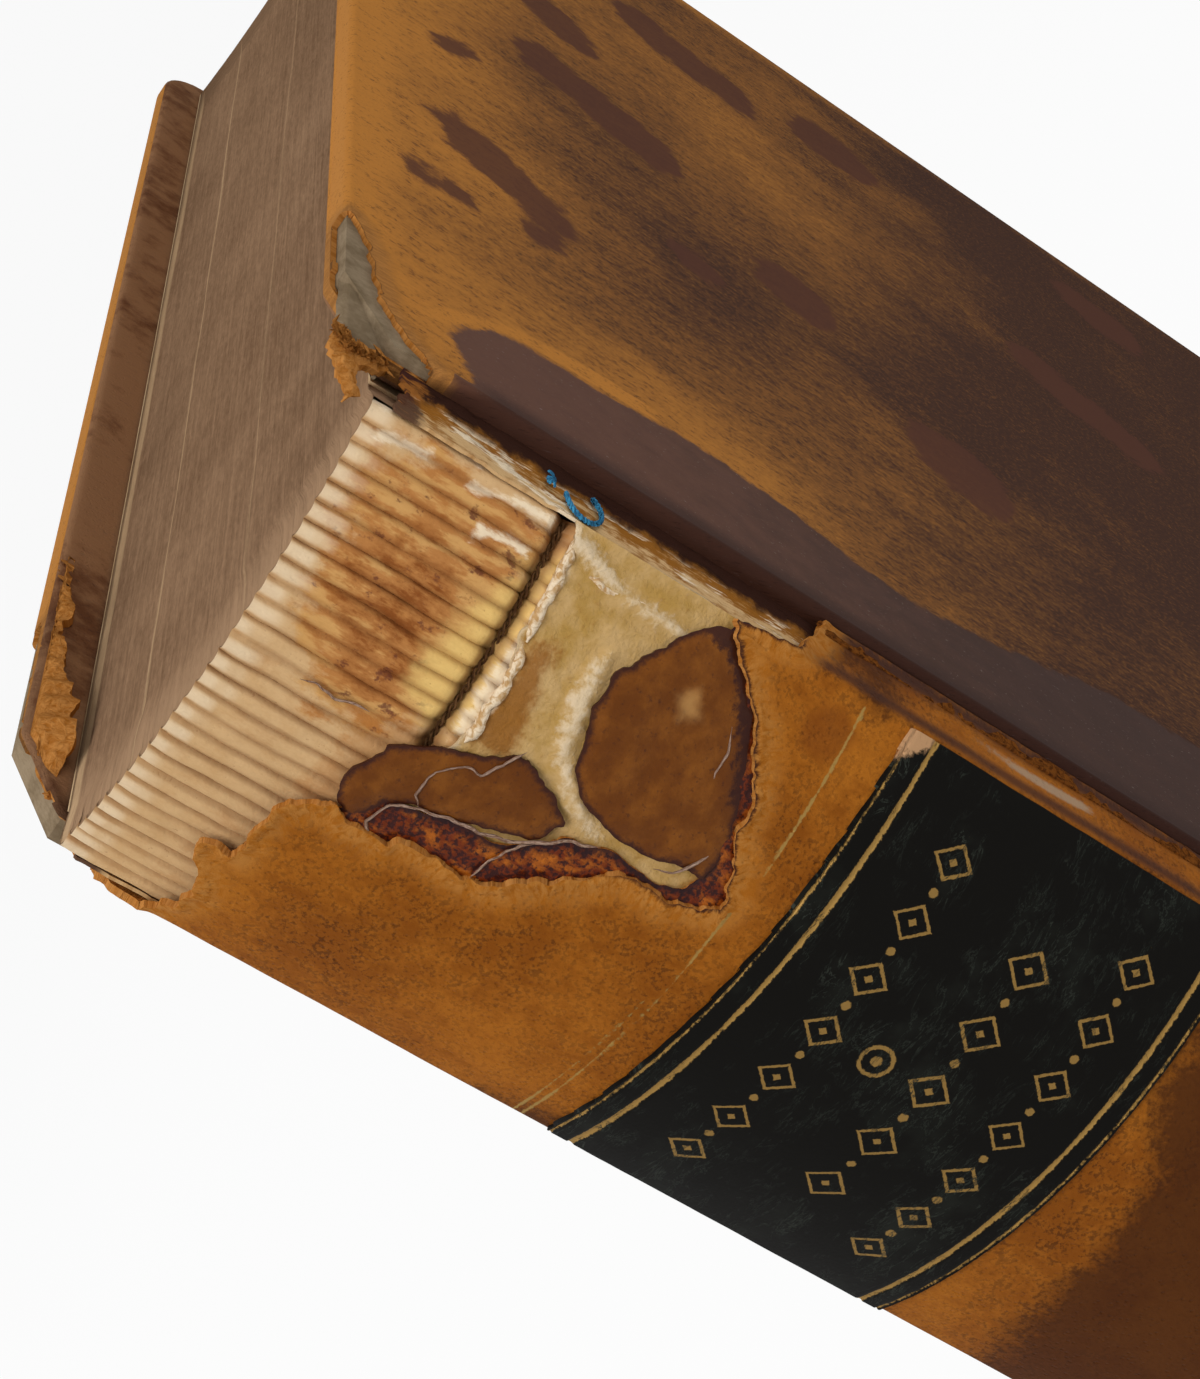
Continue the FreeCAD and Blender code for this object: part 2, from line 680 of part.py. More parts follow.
def make_book(doc):
    """Every piece of the book, in the order in which a binder would put it together."""
    pieces = [make_text_block(doc)]
    for number, step in enumerate(CORD_STEPS, start=1):
        pieces.append(make_cord(doc, number, step))
    pieces.append(make_kettle_stitch(doc, "head_kettle_stitch", "TextHead - KettleInset"))
    pieces.append(make_kettle_stitch(doc, "tail_kettle_stitch", "TextFoot + KettleInset"))
    pieces.append(make_lining(doc))
    pieces.append(make_tail_band(doc))
    pieces.append(make_tie_down(doc))
    for side, wear in ((FRONT, FRONT_WEAR), (BACK, BACK_WEAR)):
        pieces.append(make_board(doc, side))
        pieces.append(make_slips(doc, side))
        pieces.append(make_cover_leather(doc, side, wear))
        pieces.append(make_pastedown(doc, side))
        pieces.append(make_flyleaf(doc, side))
    pieces.append(make_spine_leather(doc))
    pieces.append(make_scrap(doc, "upper_leather_scrap", UPPER_SCRAP))
    pieces.append(make_scrap(doc, "lower_leather_scrap", LOWER_SCRAP))
    pieces.append(make_label(doc))
    return pieces


def check(doc, pieces):
    """Stop unless every object is sound and every piece has a valid shape."""
    for item in doc.Objects:
        if {"Invalid", "Error"} & set(item.State):
            raise RuntimeError(f"{item.Label} failed: {item.State} {item.getStatusString()}")
    for piece in pieces:
        if piece.Shape.isNull() or not piece.Shape.isValid():
            raise RuntimeError(f"{piece.Label} has no valid shape")


def write(pieces, folder="parts"):
    """Write one STEP file for each piece."""
    os.makedirs(folder, exist_ok=True)
    for piece in pieces:
        piece.Shape.exportStep(os.path.join(folder, piece.Label + ".step"))
        box = piece.Shape.BoundBox
        print(f"{piece.Label:22s} {len(piece.Shape.Solids)} solid  {piece.Shape.Volume:12.1f} mm3  "
              f"x {box.XMin:8.2f} {box.XMax:8.2f}  y {box.YMin:7.2f} {box.YMax:7.2f}  "
              f"z {box.ZMin:7.2f} {box.ZMax:7.2f}")


document = FreeCAD.newDocument("Book")
fill_sheet(document)
book = make_book(document)
document.recompute()
check(document, book)
write(book)
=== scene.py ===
"""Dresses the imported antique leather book: folded leaves, torn leathers, lining, label and covers.

The book stands on its tail, spine towards -X and front cover towards -Y. Lengths are in millimetres
until a mesh is made. Places on the spine are given as the distance round it from its middle, positive
towards the front cover, and the depth below the head of the leaves. Places on a board are given as the
distance from its edge at the joint and the depth below its head.
"""
import logging
import math
from dataclasses import dataclass
from enum import Enum
from typing import Any, Callable, Sequence

import bmesh
import bpy
import numpy as np
from mathutils import Matrix, Vector


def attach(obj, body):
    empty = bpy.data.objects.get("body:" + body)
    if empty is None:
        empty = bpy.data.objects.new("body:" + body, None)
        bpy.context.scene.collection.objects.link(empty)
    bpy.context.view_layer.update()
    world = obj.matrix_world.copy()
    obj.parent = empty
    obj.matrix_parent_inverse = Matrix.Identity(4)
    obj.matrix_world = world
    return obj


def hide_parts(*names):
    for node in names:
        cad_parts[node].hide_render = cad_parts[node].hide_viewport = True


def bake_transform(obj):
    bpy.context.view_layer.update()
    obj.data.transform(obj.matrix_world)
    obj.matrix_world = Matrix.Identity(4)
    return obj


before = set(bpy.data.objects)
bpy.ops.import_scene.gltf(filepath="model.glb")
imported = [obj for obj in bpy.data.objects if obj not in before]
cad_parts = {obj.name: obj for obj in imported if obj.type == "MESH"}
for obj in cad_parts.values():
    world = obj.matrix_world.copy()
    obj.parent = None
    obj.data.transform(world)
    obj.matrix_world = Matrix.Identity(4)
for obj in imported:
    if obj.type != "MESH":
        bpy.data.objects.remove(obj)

LOG = logging.getLogger("book")
MM = 0.001
TEXT, FRONT_BODY, BACK_BODY = "text_block", "front_cover", "back_cover"
Array, Finish, Piece = np.ndarray, bpy.types.Material, bpy.types.Object
Colour = tuple[float, float, float]
Points = Sequence[tuple[float, ...]]
Note = Callable[[Array, Array], Array]

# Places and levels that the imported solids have.
SHOULDER_X = -76.6
AXIS_X = -49.9
SPINE_RADIUS = 31.6
HALF_ANGLE = math.radians(32.335)
HALF_ARC = SPINE_RADIUS * HALF_ANGLE
TEXT_HEAD = 233.7
TEXT_FOOT = 3.7
TEXT_SIDE = 16.2
SHOULDER_Y = 16.9
TEXT_FORE = 79.0
BOARD_EDGE_X = -72.7
BOARD_HEAD = 237.0
BOARD_WIDTH = 155.0
COVER_OVER = 0.4
BOOK_HEIGHT = BOARD_HEAD + COVER_OVER
CUT_RUN, CUT_RISE = 7.1, 3.3
SKIN_OUTER = 19.2
TURN_IN = 16.65
LIP_X = -73.4
LIP_Y = 18.7
LEATHER_LIFT = 0.85
LINING_LIFT = 0.3
LABEL_LIFT = 1.12
FOLDS = 28


class Side(Enum):
    """Which cover, by its sign along Y."""

    FRONT = -1
    BACK = 1

    @property
    def body(self) -> str:
        """The body that this cover is."""
        return FRONT_BODY if self is Side.FRONT else BACK_BODY

    @property
    def word(self) -> str:
        """The side's name for its pieces."""
        return self.name.lower()


class Grain:
    """Smooth seeded noise over two coordinates, for torn outlines, ripples and stains."""

    SIZE = 256

    def __init__(self, seed: int) -> None:
        """Draw the table that the noise is read from."""
        self.table = np.random.default_rng(seed).random((self.SIZE, self.SIZE)) * 2 - 1

    def at(self, a: Any, b: Any, scale: float) -> Array:
        """One layer of noise, from -1 to 1.

        Args:
            a: First coordinate of each point.
            b: Second coordinate of each point.
            scale: Length of one wave.

        Returns:
            The noise at each point.
        """
        a, b = np.broadcast_arrays(np.asarray(a, float) / scale, np.asarray(b, float) / scale)
        i, j = np.floor(a).astype(int), np.floor(b).astype(int)
        f, g = a - i, b - j
        f, g = f * f * (3 - 2 * f), g * g * (3 - 2 * g)
        i, j, m, n = i % self.SIZE, j % self.SIZE, (i + 1) % self.SIZE, (j + 1) % self.SIZE
        low = self.table[i, j] * (1 - f) + self.table[m, j] * f
        high = self.table[i, n] * (1 - f) + self.table[m, n] * f
        return low * (1 - g) + high * g

    def layered(self, a: Any, b: Any, scale: float, layers: int = 3) -> Array:
        """Several layers of noise, each at half the scale and half the strength.

        Args:
            a: First coordinate of each point.
            b: Second coordinate of each point.
            scale: Length of the longest wave.
            layers: How many layers are added.

        Returns:
            The noise at each point.
        """
        total = sum(self.at(a + 17 * k, b - 11 * k, scale / 2**k) / 2**k for k in range(layers))
        return total / (2 - 2 ** (1 - layers))


@dataclass(frozen=True)
class Patch:
    """A closed outline on a sheet, with a ragged edge and small teeth of torn fibre."""

    corners: Points
    ragged: float = 0.0
    wave: float = 2.0
    teeth: float = 0.0
    tooth: float = 0.7
    seed: int = 1

    def nearest(self, a: Array, b: Array) -> tuple[Array, Array]:
        """How far inside the outline each point lies, and how far along it.

        Args:
            a: First coordinate of each point.
            b: Second coordinate of each point.

        Returns:
            The distance inside, negative outside, and the distance along.
        """
        a, b = np.broadcast_arrays(np.asarray(a, float), np.asarray(b, float))
        best, along = np.full(a.shape, 1e9), np.zeros(a.shape)
        odd = np.zeros(a.shape, bool)
        ring, run = list(self.corners), 0.0
        for (x0, y0), (x1, y1) in zip(ring, ring[1:] + ring[:1]):
            dx, dy = x1 - x0, y1 - y0
            size = math.hypot(dx, dy)
            share = np.clip(((a - x0) * dx + (b - y0) * dy) / size**2, 0, 1)
            away = np.hypot(a - x0 - share * dx, b - y0 - share * dy)
            along = np.where(away < best, run + share * size, along)
            best = np.minimum(best, away)
            run += size
            if dy:
                odd ^= ((y0 > b) != (y1 > b)) & (a < dx * (b - y0) / dy + x0)
        return np.where(odd, best, -best), along

    def inside(self, a: Array, b: Array) -> Array:
        """How far each point lies inside the ragged outline; outside it is negative.

        Args:
            a: First coordinate of each point.
            b: Second coordinate of each point.

        Returns:
            The distance inside, negative outside.
        """
        away, along = self.nearest(a, b)
        grain = Grain(self.seed)
        if self.ragged:
            away = away + self.ragged * grain.layered(a, b, self.wave, 4)
        if self.teeth:
            away = away + self.teeth * grain.layered(along, 0 * along + 3.3, self.tooth, 2)
        return away


def distances(path: Array) -> Array:
    """How far along a path each of its points lies."""
    return np.concatenate([[0], np.cumsum(np.linalg.norm(np.diff(path, axis=0), axis=1))])


def unit(vectors: Array) -> Array:
    """The same vectors with a length of 1."""
    return vectors / np.maximum(np.linalg.norm(vectors, axis=1, keepdims=True), 1e-9)


def nearest_inside(patches: Sequence[Patch], a: Array, b: Array) -> Array:
    """How far inside the nearest of several outlines each point is."""
    return np.max([patch.inside(a, b) for patch in patches], axis=0)


def stations(start: float, *runs: tuple[float, float]) -> Array:
    """Places along a line, closer together where more has to show.

    Args:
        start: The first place.
        runs: The end of each run and the spacing within it.

    Returns:
        All the places in order.
    """
    places = [start]
    for end, gap in runs:
        count = max(1, round(abs(end - places[-1]) / gap))
        places.extend(np.linspace(places[-1], end, count + 1)[1:])
    return np.array(places)


def laid(*parts: Array) -> Array:
    """Points or a vector measure from their coordinates, with 0 for a third that is left out."""
    return np.stack([*parts, 0 * parts[0]][:3], axis=-1)


def smooth(value: Any, low: float, high: float) -> Array:
    """A smooth step from 0 at low to 1 at high."""
    t = np.clip((np.asarray(value, float) - low) / (high - low), 0, 1)
    return t * t * (3 - 2 * t)


def on_spine(u: Any, z: Any, lift: Any) -> Array:
    """Points on the rounded spine, and past its shoulders on the straight run to each joint.

    Args:
        u: Distance round the spine from its middle, positive towards the front cover.
        z: Height.
        lift: Distance out from the folds of the leaves.

    Returns:
        The points, in millimetres.
    """
    u, z, lift = np.broadcast_arrays(*(np.asarray(v, float) for v in (u, z, lift)))
    turn = np.minimum(np.abs(u) / SPINE_RADIUS, HALF_ANGLE)
    past = np.maximum(np.abs(u) - HALF_ARC, 0)
    radius = SPINE_RADIUS + lift
    x, y = AXIS_X - radius * np.cos(turn), radius * np.sin(turn)
    to_x, to_y = LIP_X - x, (LIP_Y - (LEATHER_LIFT - lift)) - y
    reach = np.hypot(to_x, to_y)
    x, y = x + to_x / reach * past, y + to_y / reach * past
    return np.stack([x, -np.sign(u) * y, z], axis=-1)


def linked(name: str, data: Any) -> Piece:
    """A new object of the scene that holds this data.

    Args:
        name: The name.
        data: What the object holds.

    Returns:
        The object.
    """
    made = bpy.data.objects.new(name, data)
    bpy.context.scene.collection.objects.link(made)
    return made


class Form:
    """Gathers grids of points into one mesh, with named measures on its points."""

    def __init__(self, name: str) -> None:
        """Start an empty form.

        Args:
            name: The name.
        """
        self.name = name
        self.points: list[Array] = []
        self.faces: list[Array] = []
        self.finishes: list[Array] = []
        self.measures: dict[str, list[tuple[int, Array]]] = {}
        self.count = 0

    def grid(self, points: Array, keep: Array | None = None, finish: int = 0,
             turned: bool = False, **measures: Array) -> None:
        """Add a grid of quads.

        Args:
            points: Rows and columns of points.
            keep: Which of the quads are kept; all where it is left out.
            finish: Place of the quads' finish in the form's list.
            turned: Whether the quads face the other way.
            measures: Named values at the points.
        """
        rows, columns = points.shape[:2]
        index = np.arange(rows * columns).reshape(rows, columns) + self.count
        quads = np.stack([index[:-1, :-1], index[:-1, 1:], index[1:, 1:], index[1:, :-1]], axis=-1)
        quads = quads[keep] if keep is not None else quads.reshape(-1, 4)
        if turned:
            quads = quads[:, ::-1]
        self.points.append(points.reshape(-1, 3))
        self.faces.append(quads)
        self.finishes.append(np.full(len(quads), finish))
        for name, values in measures.items():
            wide = values.reshape(-1, 3) if values.ndim == 3 else values.reshape(-1)
            self.measures.setdefault(name, []).append((self.count, wide))
        self.count += rows * columns

    def tube(self, path: Array, radii: Array | float, sides: int = 8, finish: int = 0) -> None:
        """Add a closed rod that may swell and taper.

        Args:
            path: Points of its middle.
            radii: Radius at each point.
            sides: Sides of its section.
            finish: Place of its finish in the form's list.
        """
        path = np.asarray(path, float)
        radii = np.broadcast_to(np.asarray(radii, float), len(path)).copy()
        along = unit(np.gradient(path, axis=0))
        across = unit(np.cross(along, [0.31, 0.22, 0.92]))
        other = np.cross(along, across)
        turn = np.arange(sides + 1) / sides * 2 * np.pi
        turn[-1] = 0.0
        path = np.concatenate([path[:1], path, path[-1:]])
        across, other = (np.concatenate([v[:1], v, v[-1:]]) for v in (across, other))
        radii = np.concatenate([[0.0], radii, [0.0]])
        ring = across[:, None] * np.cos(turn)[None, :, None] + other[:, None] * np.sin(turn)[None, :, None]
        points = path[:, None] + ring * radii[:, None, None]
        far = distances(path)
        lay = np.stack(np.broadcast_arrays(far[:, None], turn[None] * 0.3, 0.0 * turn[None]), axis=-1)
        self.grid(points, finish=finish, lay=lay)

    def thicken(self, depth: float, finish: int = 1) -> None:
        """Give the sheet a back and closed edges.

        Args:
            depth: Thickness, measured against the way the quads face.
            finish: Place of the finish of the back and the edges.
        """
        points, faces = np.concatenate(self.points), np.concatenate(self.faces)
        across = np.cross(points[faces[:, 2]] - points[faces[:, 0]],
                          points[faces[:, 3]] - points[faces[:, 1]])
        normals = np.zeros_like(points)
        for corner in range(4):
            np.add.at(normals, faces[:, corner], across)
        normals = unit(normals)
        edges = np.concatenate([faces[:, [k, (k + 1) % 4]] for k in range(4)])
        edges = edges[edges[:, 0] != edges[:, 1]]
        _, first, uses = np.unique(np.sort(edges, axis=1), axis=0, return_index=True, return_counts=True)
        rim = edges[first[uses == 1]]
        walls = np.stack([rim[:, 1], rim[:, 0], rim[:, 0] + self.count, rim[:, 1] + self.count], 1)
        self.points.append(points - normals * depth)
        self.faces += [faces[:, ::-1] + self.count, walls]
        self.finishes += [np.full(len(faces), finish), np.full(len(walls), finish)]
        for name, runs in self.measures.items():
            self.measures[name] = runs + [(start + self.count, values) for start, values in runs]
        self.count *= 2

    def weld(self) -> "Form":
        """Join points that fall together along the seams of the grids.

        Returns:
            The form itself.
        """
        points, faces = np.concatenate(self.points), np.concatenate(self.faces)
        _, first, place = np.unique(np.round(points, 4), axis=0, return_index=True, return_inverse=True)
        self.points, self.faces = [points], [first[place.reshape(-1)[faces]]]
        self.finishes = [np.concatenate(self.finishes)]
        return self

    def mesh(self) -> bpy.types.Mesh:
        """The gathered mesh in metres, with its measures as point attributes.

        Returns:
            The mesh.
        """
        points, faces = np.concatenate(self.points), np.concatenate(self.faces)
        finishes = np.concatenate(self.finishes)
        used, packed = np.unique(faces, return_inverse=True)
        quads = [list(dict.fromkeys(quad)) for quad in packed.reshape(faces.shape).tolist()]
        sound = [number for number, quad in enumerate(quads) if len(quad) > 2]
        mesh = bpy.data.meshes.new(self.name)
        mesh.from_pydata((points[used] * MM).tolist(), [], [quads[number] for number in sound])
        mesh.polygons.foreach_set("material_index", finishes[sound].astype(np.int32))
        for name, runs in self.measures.items():
            wide = runs[0][1].ndim == 2
            full = np.zeros((len(points), 3) if wide else len(points), np.float32)
            for start, values in runs:
                full[start:start + len(values)] = values
            layer = mesh.attributes.new(name, "FLOAT_VECTOR" if wide else "FLOAT", "POINT")
            layer.data.foreach_set("vector" if wide else "value", full[used].ravel())
        mesh.validate()
        mesh.update()
        return mesh

    def piece(self, finishes: Sequence[Finish], body: str | None, sharp: float = 40) -> Piece:
        """Make the object.

        Args:
            finishes: Materials in the order that the grids name them.
            body: The body that it rides on, or None where it rides on none.
            sharp: Angle in degrees over which an edge stays crisp.

        Returns:
            The object, at the origin.
        """
        mesh = self.mesh()
        work = bmesh.new()
        work.from_mesh(mesh)
        bmesh.ops.recalc_face_normals(work, faces=work.faces)
        work.to_mesh(mesh)
        work.free()
        mesh.shade_smooth()
        mesh.set_sharp_from_angle(angle=math.radians(sharp))
        for finish in finishes:
            mesh.materials.append(finish)
        made = linked(self.name, mesh)
        if body:
            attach(made, body)
        return made


def fit_edge(a: Array, b: Array, inside: Note, step: float) -> tuple[Array, Array, Array]:
    """Cut a grid along an outline, moving the points beside it onto it.

    Args:
        a: First coordinate of the grid's points.
        b: Second coordinate of the grid's points.
        inside: How far inside the sheet a point lies.
        step: The grid's spacing near the outline.

    Returns:
        Both coordinates after the move, and which quads are kept.
    """
    depth = inside(a, b)
    keep = (depth[:-1, :-1] + depth[1:, :-1] + depth[:-1, 1:] + depth[1:, 1:]) > 0
    near = np.zeros((2, *depth.shape), bool)
    for value in (0, 1):
        for rows in (slice(None, -1), slice(1, None)):
            for columns in (slice(None, -1), slice(1, None)):
                near[value][rows, columns] |= keep == bool(value)
    edge = near[0] & near[1]
    small = step / 4
    for _ in range(2):
        slope_a = (inside(a + small, b) - inside(a - small, b)) / (2 * small)
        slope_b = (inside(a, b + small) - inside(a, b - small)) / (2 * small)
        size = np.maximum(slope_a**2 + slope_b**2, 0.25)
        depth = inside(a, b)
        a = a + np.clip(-depth * slope_a / size, -0.27 * step, 0.27 * step) * edge
        b = b + np.clip(-depth * slope_b / size, -0.27 * step, 0.27 * step) * edge
    return a, b, keep


def operator(operation: str, swapped: bool = False) -> Callable[..., "Value"]:
    """A method that joins a value and another in one Math node.

    Args:
        operation: The node's operation.
        swapped: Whether the other comes first.

    Returns:
        The method.
    """
    def method(value: "Value", other: Any = None) -> "Value":
        """The joined value."""
        ends = [value] if other is None else [other, value] if swapped else [value, other]
        return value.nodes.node("ShaderNodeMath", {"operation": operation}, dict(enumerate(ends)))

    return method


class Value:
    """A socket's value, or a number, on which Python's operators add Math nodes."""

    __add__ = __radd__ = operator("ADD")
    __sub__, __rsub__ = operator("SUBTRACT"), operator("SUBTRACT", swapped=True)
    __mul__ = __rmul__ = operator("MULTIPLY")
    __pow__ = operator("POWER")
    __abs__ = operator("ABSOLUTE")
    lower, higher = operator("MINIMUM"), operator("MAXIMUM")

    def __init__(self, nodes: "Nodes", source: Any) -> None:
        """Wrap a socket."""
        self.nodes, self.source = nodes, source

    def __mod__(self, cell: float) -> "Value":
        """Where it lies in its cell, from minus half a cell to half a cell."""
        return self.nodes.node("ShaderNodeMath", {"operation": "WRAP"},
                               {0: self, 1: cell / 2, 2: -cell / 2})

    def step(self, low: float, high: float) -> "Value":
        """A smooth step from 0 at low to 1 at high; low may be the higher of the two."""
        return self.nodes.node("ShaderNodeMapRange", {"interpolation_type": "SMOOTHSTEP"},
                               {"Value": self, "From Min": low, "From Max": high})


class Nodes:
    """A node tree that is filled through one method."""

    def __init__(self, tree: bpy.types.NodeTree) -> None:
        """Start with an empty tree."""
        self.tree = tree
        tree.nodes.clear()

    def node(self, kind: str, settings: dict[str, Any], sockets: dict[Any, Any],
             output: str | int = 0) -> Value:
        """Add one node.

        Args:
            kind: The node's type.
            settings: Its own settings, set first; "stops" fills a colour ramp.
            sockets: Values or links, by the socket's number, identifier or name.
            output: Number, identifier or name of the wanted output.

        Returns:
            The wanted output, or None from a node that has none.
        """
        made = self.tree.nodes.new(kind)
        for name, setting in settings.items():
            if name == "stops":
                stops = made.color_ramp.elements
                while len(stops) < len(setting):
                    stops.new(1.0)
                for stop, (place, colour) in zip(stops, setting):
                    stop.position, stop.color = place, (*colour, 1.0)
            else:
                setattr(made, name, setting)
        for name, value in sockets.items():
            socket = self._find(made.inputs, name)
            value = value.source if isinstance(value, Value) else value
            if isinstance(value, bpy.types.NodeSocket):
                self.tree.links.new(value, socket)
            elif isinstance(value, tuple) and len(socket.default_value) == len(value) + 1:
                socket.default_value = (*value, 1.0)
            else:
                socket.default_value = value
        return Value(self, self._find(made.outputs, output)) if made.outputs else None

    @staticmethod
    def _find(sockets: Any, name: str | int) -> bpy.types.NodeSocket:
        """A socket by its number, identifier or name.

        Args:
            sockets: The sockets.
            name: The name.

        Returns:
            The socket.
        """
        if isinstance(name, int):
            return sockets[name]
        return next((s for s in sockets if s.identifier == name), None) or sockets[name]

    def seen(self) -> Value:
        """1 for what the camera sees, straight or in gloss or glass.

        Returns:
            1 for those rays and 0 for the others.
        """
        rays = [self.node("ShaderNodeLightPath", {}, {}, f"Is {kind} Ray")
                for kind in ("Camera", "Glossy", "Transmission")]
        return rays[0].higher(rays[1]).higher(rays[2])


class Shader(Nodes):
    """The nodes of one finish."""

    def __init__(self, name: str, solid: bool = False) -> None:
        """Start a material.

        Args:
            name: The material's name.
            solid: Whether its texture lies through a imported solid, in millimetres, and not along a
                form's own laid-out measure.
        """
        self.material = bpy.data.materials.new(name)
        self.material.use_nodes = True
        super().__init__(self.material.node_tree)
        self.tone: Any = None
        if solid:
            place = self.node("ShaderNodeTexCoord", {}, {}, "Object")
            self.lay = self.vector("SCALE", place, Scale=1 / MM)
        else:
            self.lay = self.place("lay")

    def vector(self, operation: str, *ends: Any, **named: Any) -> Value:
        """One step of Vector Math."""
        return self.node("ShaderNodeVectorMath", {"operation": operation},
                         {**dict(enumerate(ends)), **named})

    def place(self, name: str) -> Value:
        """A named vector measure of the form."""
        return self.node("ShaderNodeAttribute", {"attribute_name": name}, {}, "Vector")

    def measure(self, name: str) -> Value:
        """A named measure of the form."""
        return self.node("ShaderNodeAttribute", {"attribute_name": name}, {}, "Fac")

    def measures(self, *names: str) -> list[Value]:
        """Several named measures of the form."""
        return [self.measure(name) for name in names]

    def axis(self, number: int) -> Value:
        """One coordinate of the laid-out place."""
        return self.node("ShaderNodeSeparateXYZ", {}, {0: self.lay}, number)

    def noise(self, scale: float, detail: float = 3, rough: float = 0.55, warp: float = 0,
              stretch: Colour = (1, 1, 1), shift: float = 0, place: Value | None = None) -> Value:
        """Cloudy noise, from 0 to 1.

        Args:
            scale: Waves in a millimetre.
            detail: Layers of finer noise.
            rough: Strength of the finer layers.
            warp: How far the noise is distorted.
            stretch: Factor on each coordinate before the noise is read.
            shift: Moves the noise to another place.
            place: Where it is read, instead of the laid-out place.

        Returns:
            The noise.
        """
        where = self.vector("MULTIPLY_ADD", place or self.lay, stretch, (shift, shift * 0.7, -shift))
        return self.node("ShaderNodeTexNoise", {}, {"Vector": where, "Scale": scale, "Detail": detail,
                                                    "Roughness": rough, "Distortion": warp})

    def cells(self, scale: float, stretch: Colour = (1, 1, 1)) -> Value:
        """Distance from the nearest of many scattered points.

        Args:
            scale: Points in a millimetre.
            stretch: Factor on each coordinate first.

        Returns:
            The distance.
        """
        place = self.vector("MULTIPLY", self.lay, stretch)
        return self.node("ShaderNodeTexVoronoi", {}, {"Vector": place, "Scale": scale}, "Distance")

    def mix(self, share: Any, first: Any, second: Any) -> Value:
        """A colour between two."""
        return self.node("ShaderNodeMix", {"data_type": "RGBA"},
                         {"Factor_Float": share, "A_Color": first, "B_Color": second}, "Result_Color")

    def over(self, share: Any, colour: Any) -> None:
        """Cover a share of the tone so far with a colour."""
        self.tone = self.mix(share, self.tone, colour)

    def close(self, rough: Any, height: Value, deep: float, gloss: float = 0.0, **more: Any) -> Finish:
        """Finish the tree, with the tone as its base colour.

        Args:
            rough: The roughness.
            height: Relief, where 1 stands proud of 0.
            deep: Height of that relief in millimetres.
            gloss: Level of the plain reflection, the same all over.
            more: Further sockets of the surface, with _ for a space.

        Returns:
            The material.
        """
        relief = self.node("ShaderNodeBump", {}, {"Height": height, "Distance": deep * MM}, "Normal")
        sockets = {"Base Color": self.tone, "Roughness": rough, "Specular IOR Level": gloss,
                   "Normal": relief, **{name.replace("_", " "): value for name, value in more.items()}}
        surface = self.node("ShaderNodeBsdfPrincipled", {}, sockets)
        self.node("ShaderNodeOutputMaterial", {}, {"Surface": surface})
        return self.material


@dataclass(frozen=True)
class CoverSkin:
    """Sprinkled sheepskin of the boards: orange at the head, brown grain, dark joint and blots, with
    painted shade along the face at the joint edge.
    """

    orange: Colour = (0.50, 0.205, 0.042)
    tan: Colour = (0.30, 0.130, 0.038)
    brown: Colour = (0.064, 0.032, 0.023)
    plum: Colour = (0.100, 0.042, 0.028)
    black_plum: Colour = (0.044, 0.018, 0.012)
    turn_in: Colour = (0.27, 0.145, 0.080)
    suede: Colour = (0.48, 0.212, 0.058)
    dust: Colour = (0.24, 0.20, 0.19)
    dark_rim: Colour = (0.05, 0.02, 0.01)
    # Painted shade: near-black for the crevice at the joint edge.
    crevice_shade: Colour = (0.030, 0.010, 0.006)

    def make(self) -> Finish:
        """The material of the face, edges and turn-ins.

        Returns:
            The material.
        """
        s = Shader("sprinkled_sheepskin")
        warm, band, blot, torn, worn, under = s.measures("warm", "band", "blot", "torn", "worn", "under")
        cloud = s.noise(0.05, 4, 0.6)
        grain = s.noise(1.9, 5, 0.7, stretch=(1, 0.42, 1))
        speck = s.noise(4.2, 4, 0.7, stretch=(1, 0.6, 1), shift=9)
        fine = s.noise(9.0, 2, 0.6, shift=3)
        nap = s.noise(1.0, 4, 0.7, stretch=(3.4, 0.7, 1), place=s.place("fringe"))
        base = (warm + (cloud - 0.5) * 0.7 + (grain - 0.5) * 0.8 + (speck - 0.5) * 0.6).step(0.0, 1.0)
        s.tone = s.mix(base, self.brown, self.orange)
        s.over(speck.step(0.52, 0.68) * 0.35, self.tan)
        s.over((grain * 0.5 + speck * 0.5).step(0.47, 0.38) * 0.55, self.brown)
        patchy = s.noise(0.42, 5, 0.65, stretch=(1, 0.8, 1), shift=14)
        edge = (speck - 0.5) * 1.3 + (grain - 0.5) * 1.5 + (patchy - 0.5) * 4.5
        s.over((blot + edge).step(-0.5, 0.5) * 0.88, self.plum)
        strip = (band + edge * 0.6).step(-0.3, 0.3)
        faded = (s.axis(1) + (patchy - 0.5) * 30).step(10.0, 52.0)
        s.over(strip * 0.96, s.mix(faded * 0.95 + (patchy - 0.5) * 0.5, self.plum, self.black_plum))
        s.over(strip * speck.step(0.64, 0.70) * 0.5, self.dust)
        s.over((worn + (speck - 0.5) * 0.9 + (grain - 0.5) * 0.6).step(0.30, 0.85) * 0.75, self.suede)
        near = (torn + (nap - 0.5) * 1.6).step(1.9, 0.5)
        s.over(near * 0.9, s.mix(nap.step(0.35, 0.65), self.tan, self.suede))
        s.over(torn.step(0.12, 0.02) * 0.6, self.dark_rim)
        s.over((under + (speck - 0.5) * 1.2 + (grain - 0.5)).step(-0.3, 0.6) * 0.85,
               s.mix((cloud + (patchy - 0.5)).step(0.25, 0.60), self.plum, self.turn_in))
        # Painted shade: darkens the face within about 3 mm of the joint edge, below the head, where the
        # crevice is.
        s.over((s.axis(0) + (speck - 0.5)).step(3.0, 0.3) * s.axis(1).step(8.0, 11.0) * 0.75, self.crevice_shade)
        pores = s.cells(2.6, stretch=(1, 0.8, 1))
        height = grain * 0.45 + fine * 0.3 + pores.step(0.0, 0.35) * 0.35 + (speck + nap) * near
        rough = 0.62 + grain * 0.2 - strip * 0.16 + near * 0.2
        return s.close(rough, height, 0.16, Coat_Weight=strip * 0.10 + 0.02, Coat_Roughness=0.35)


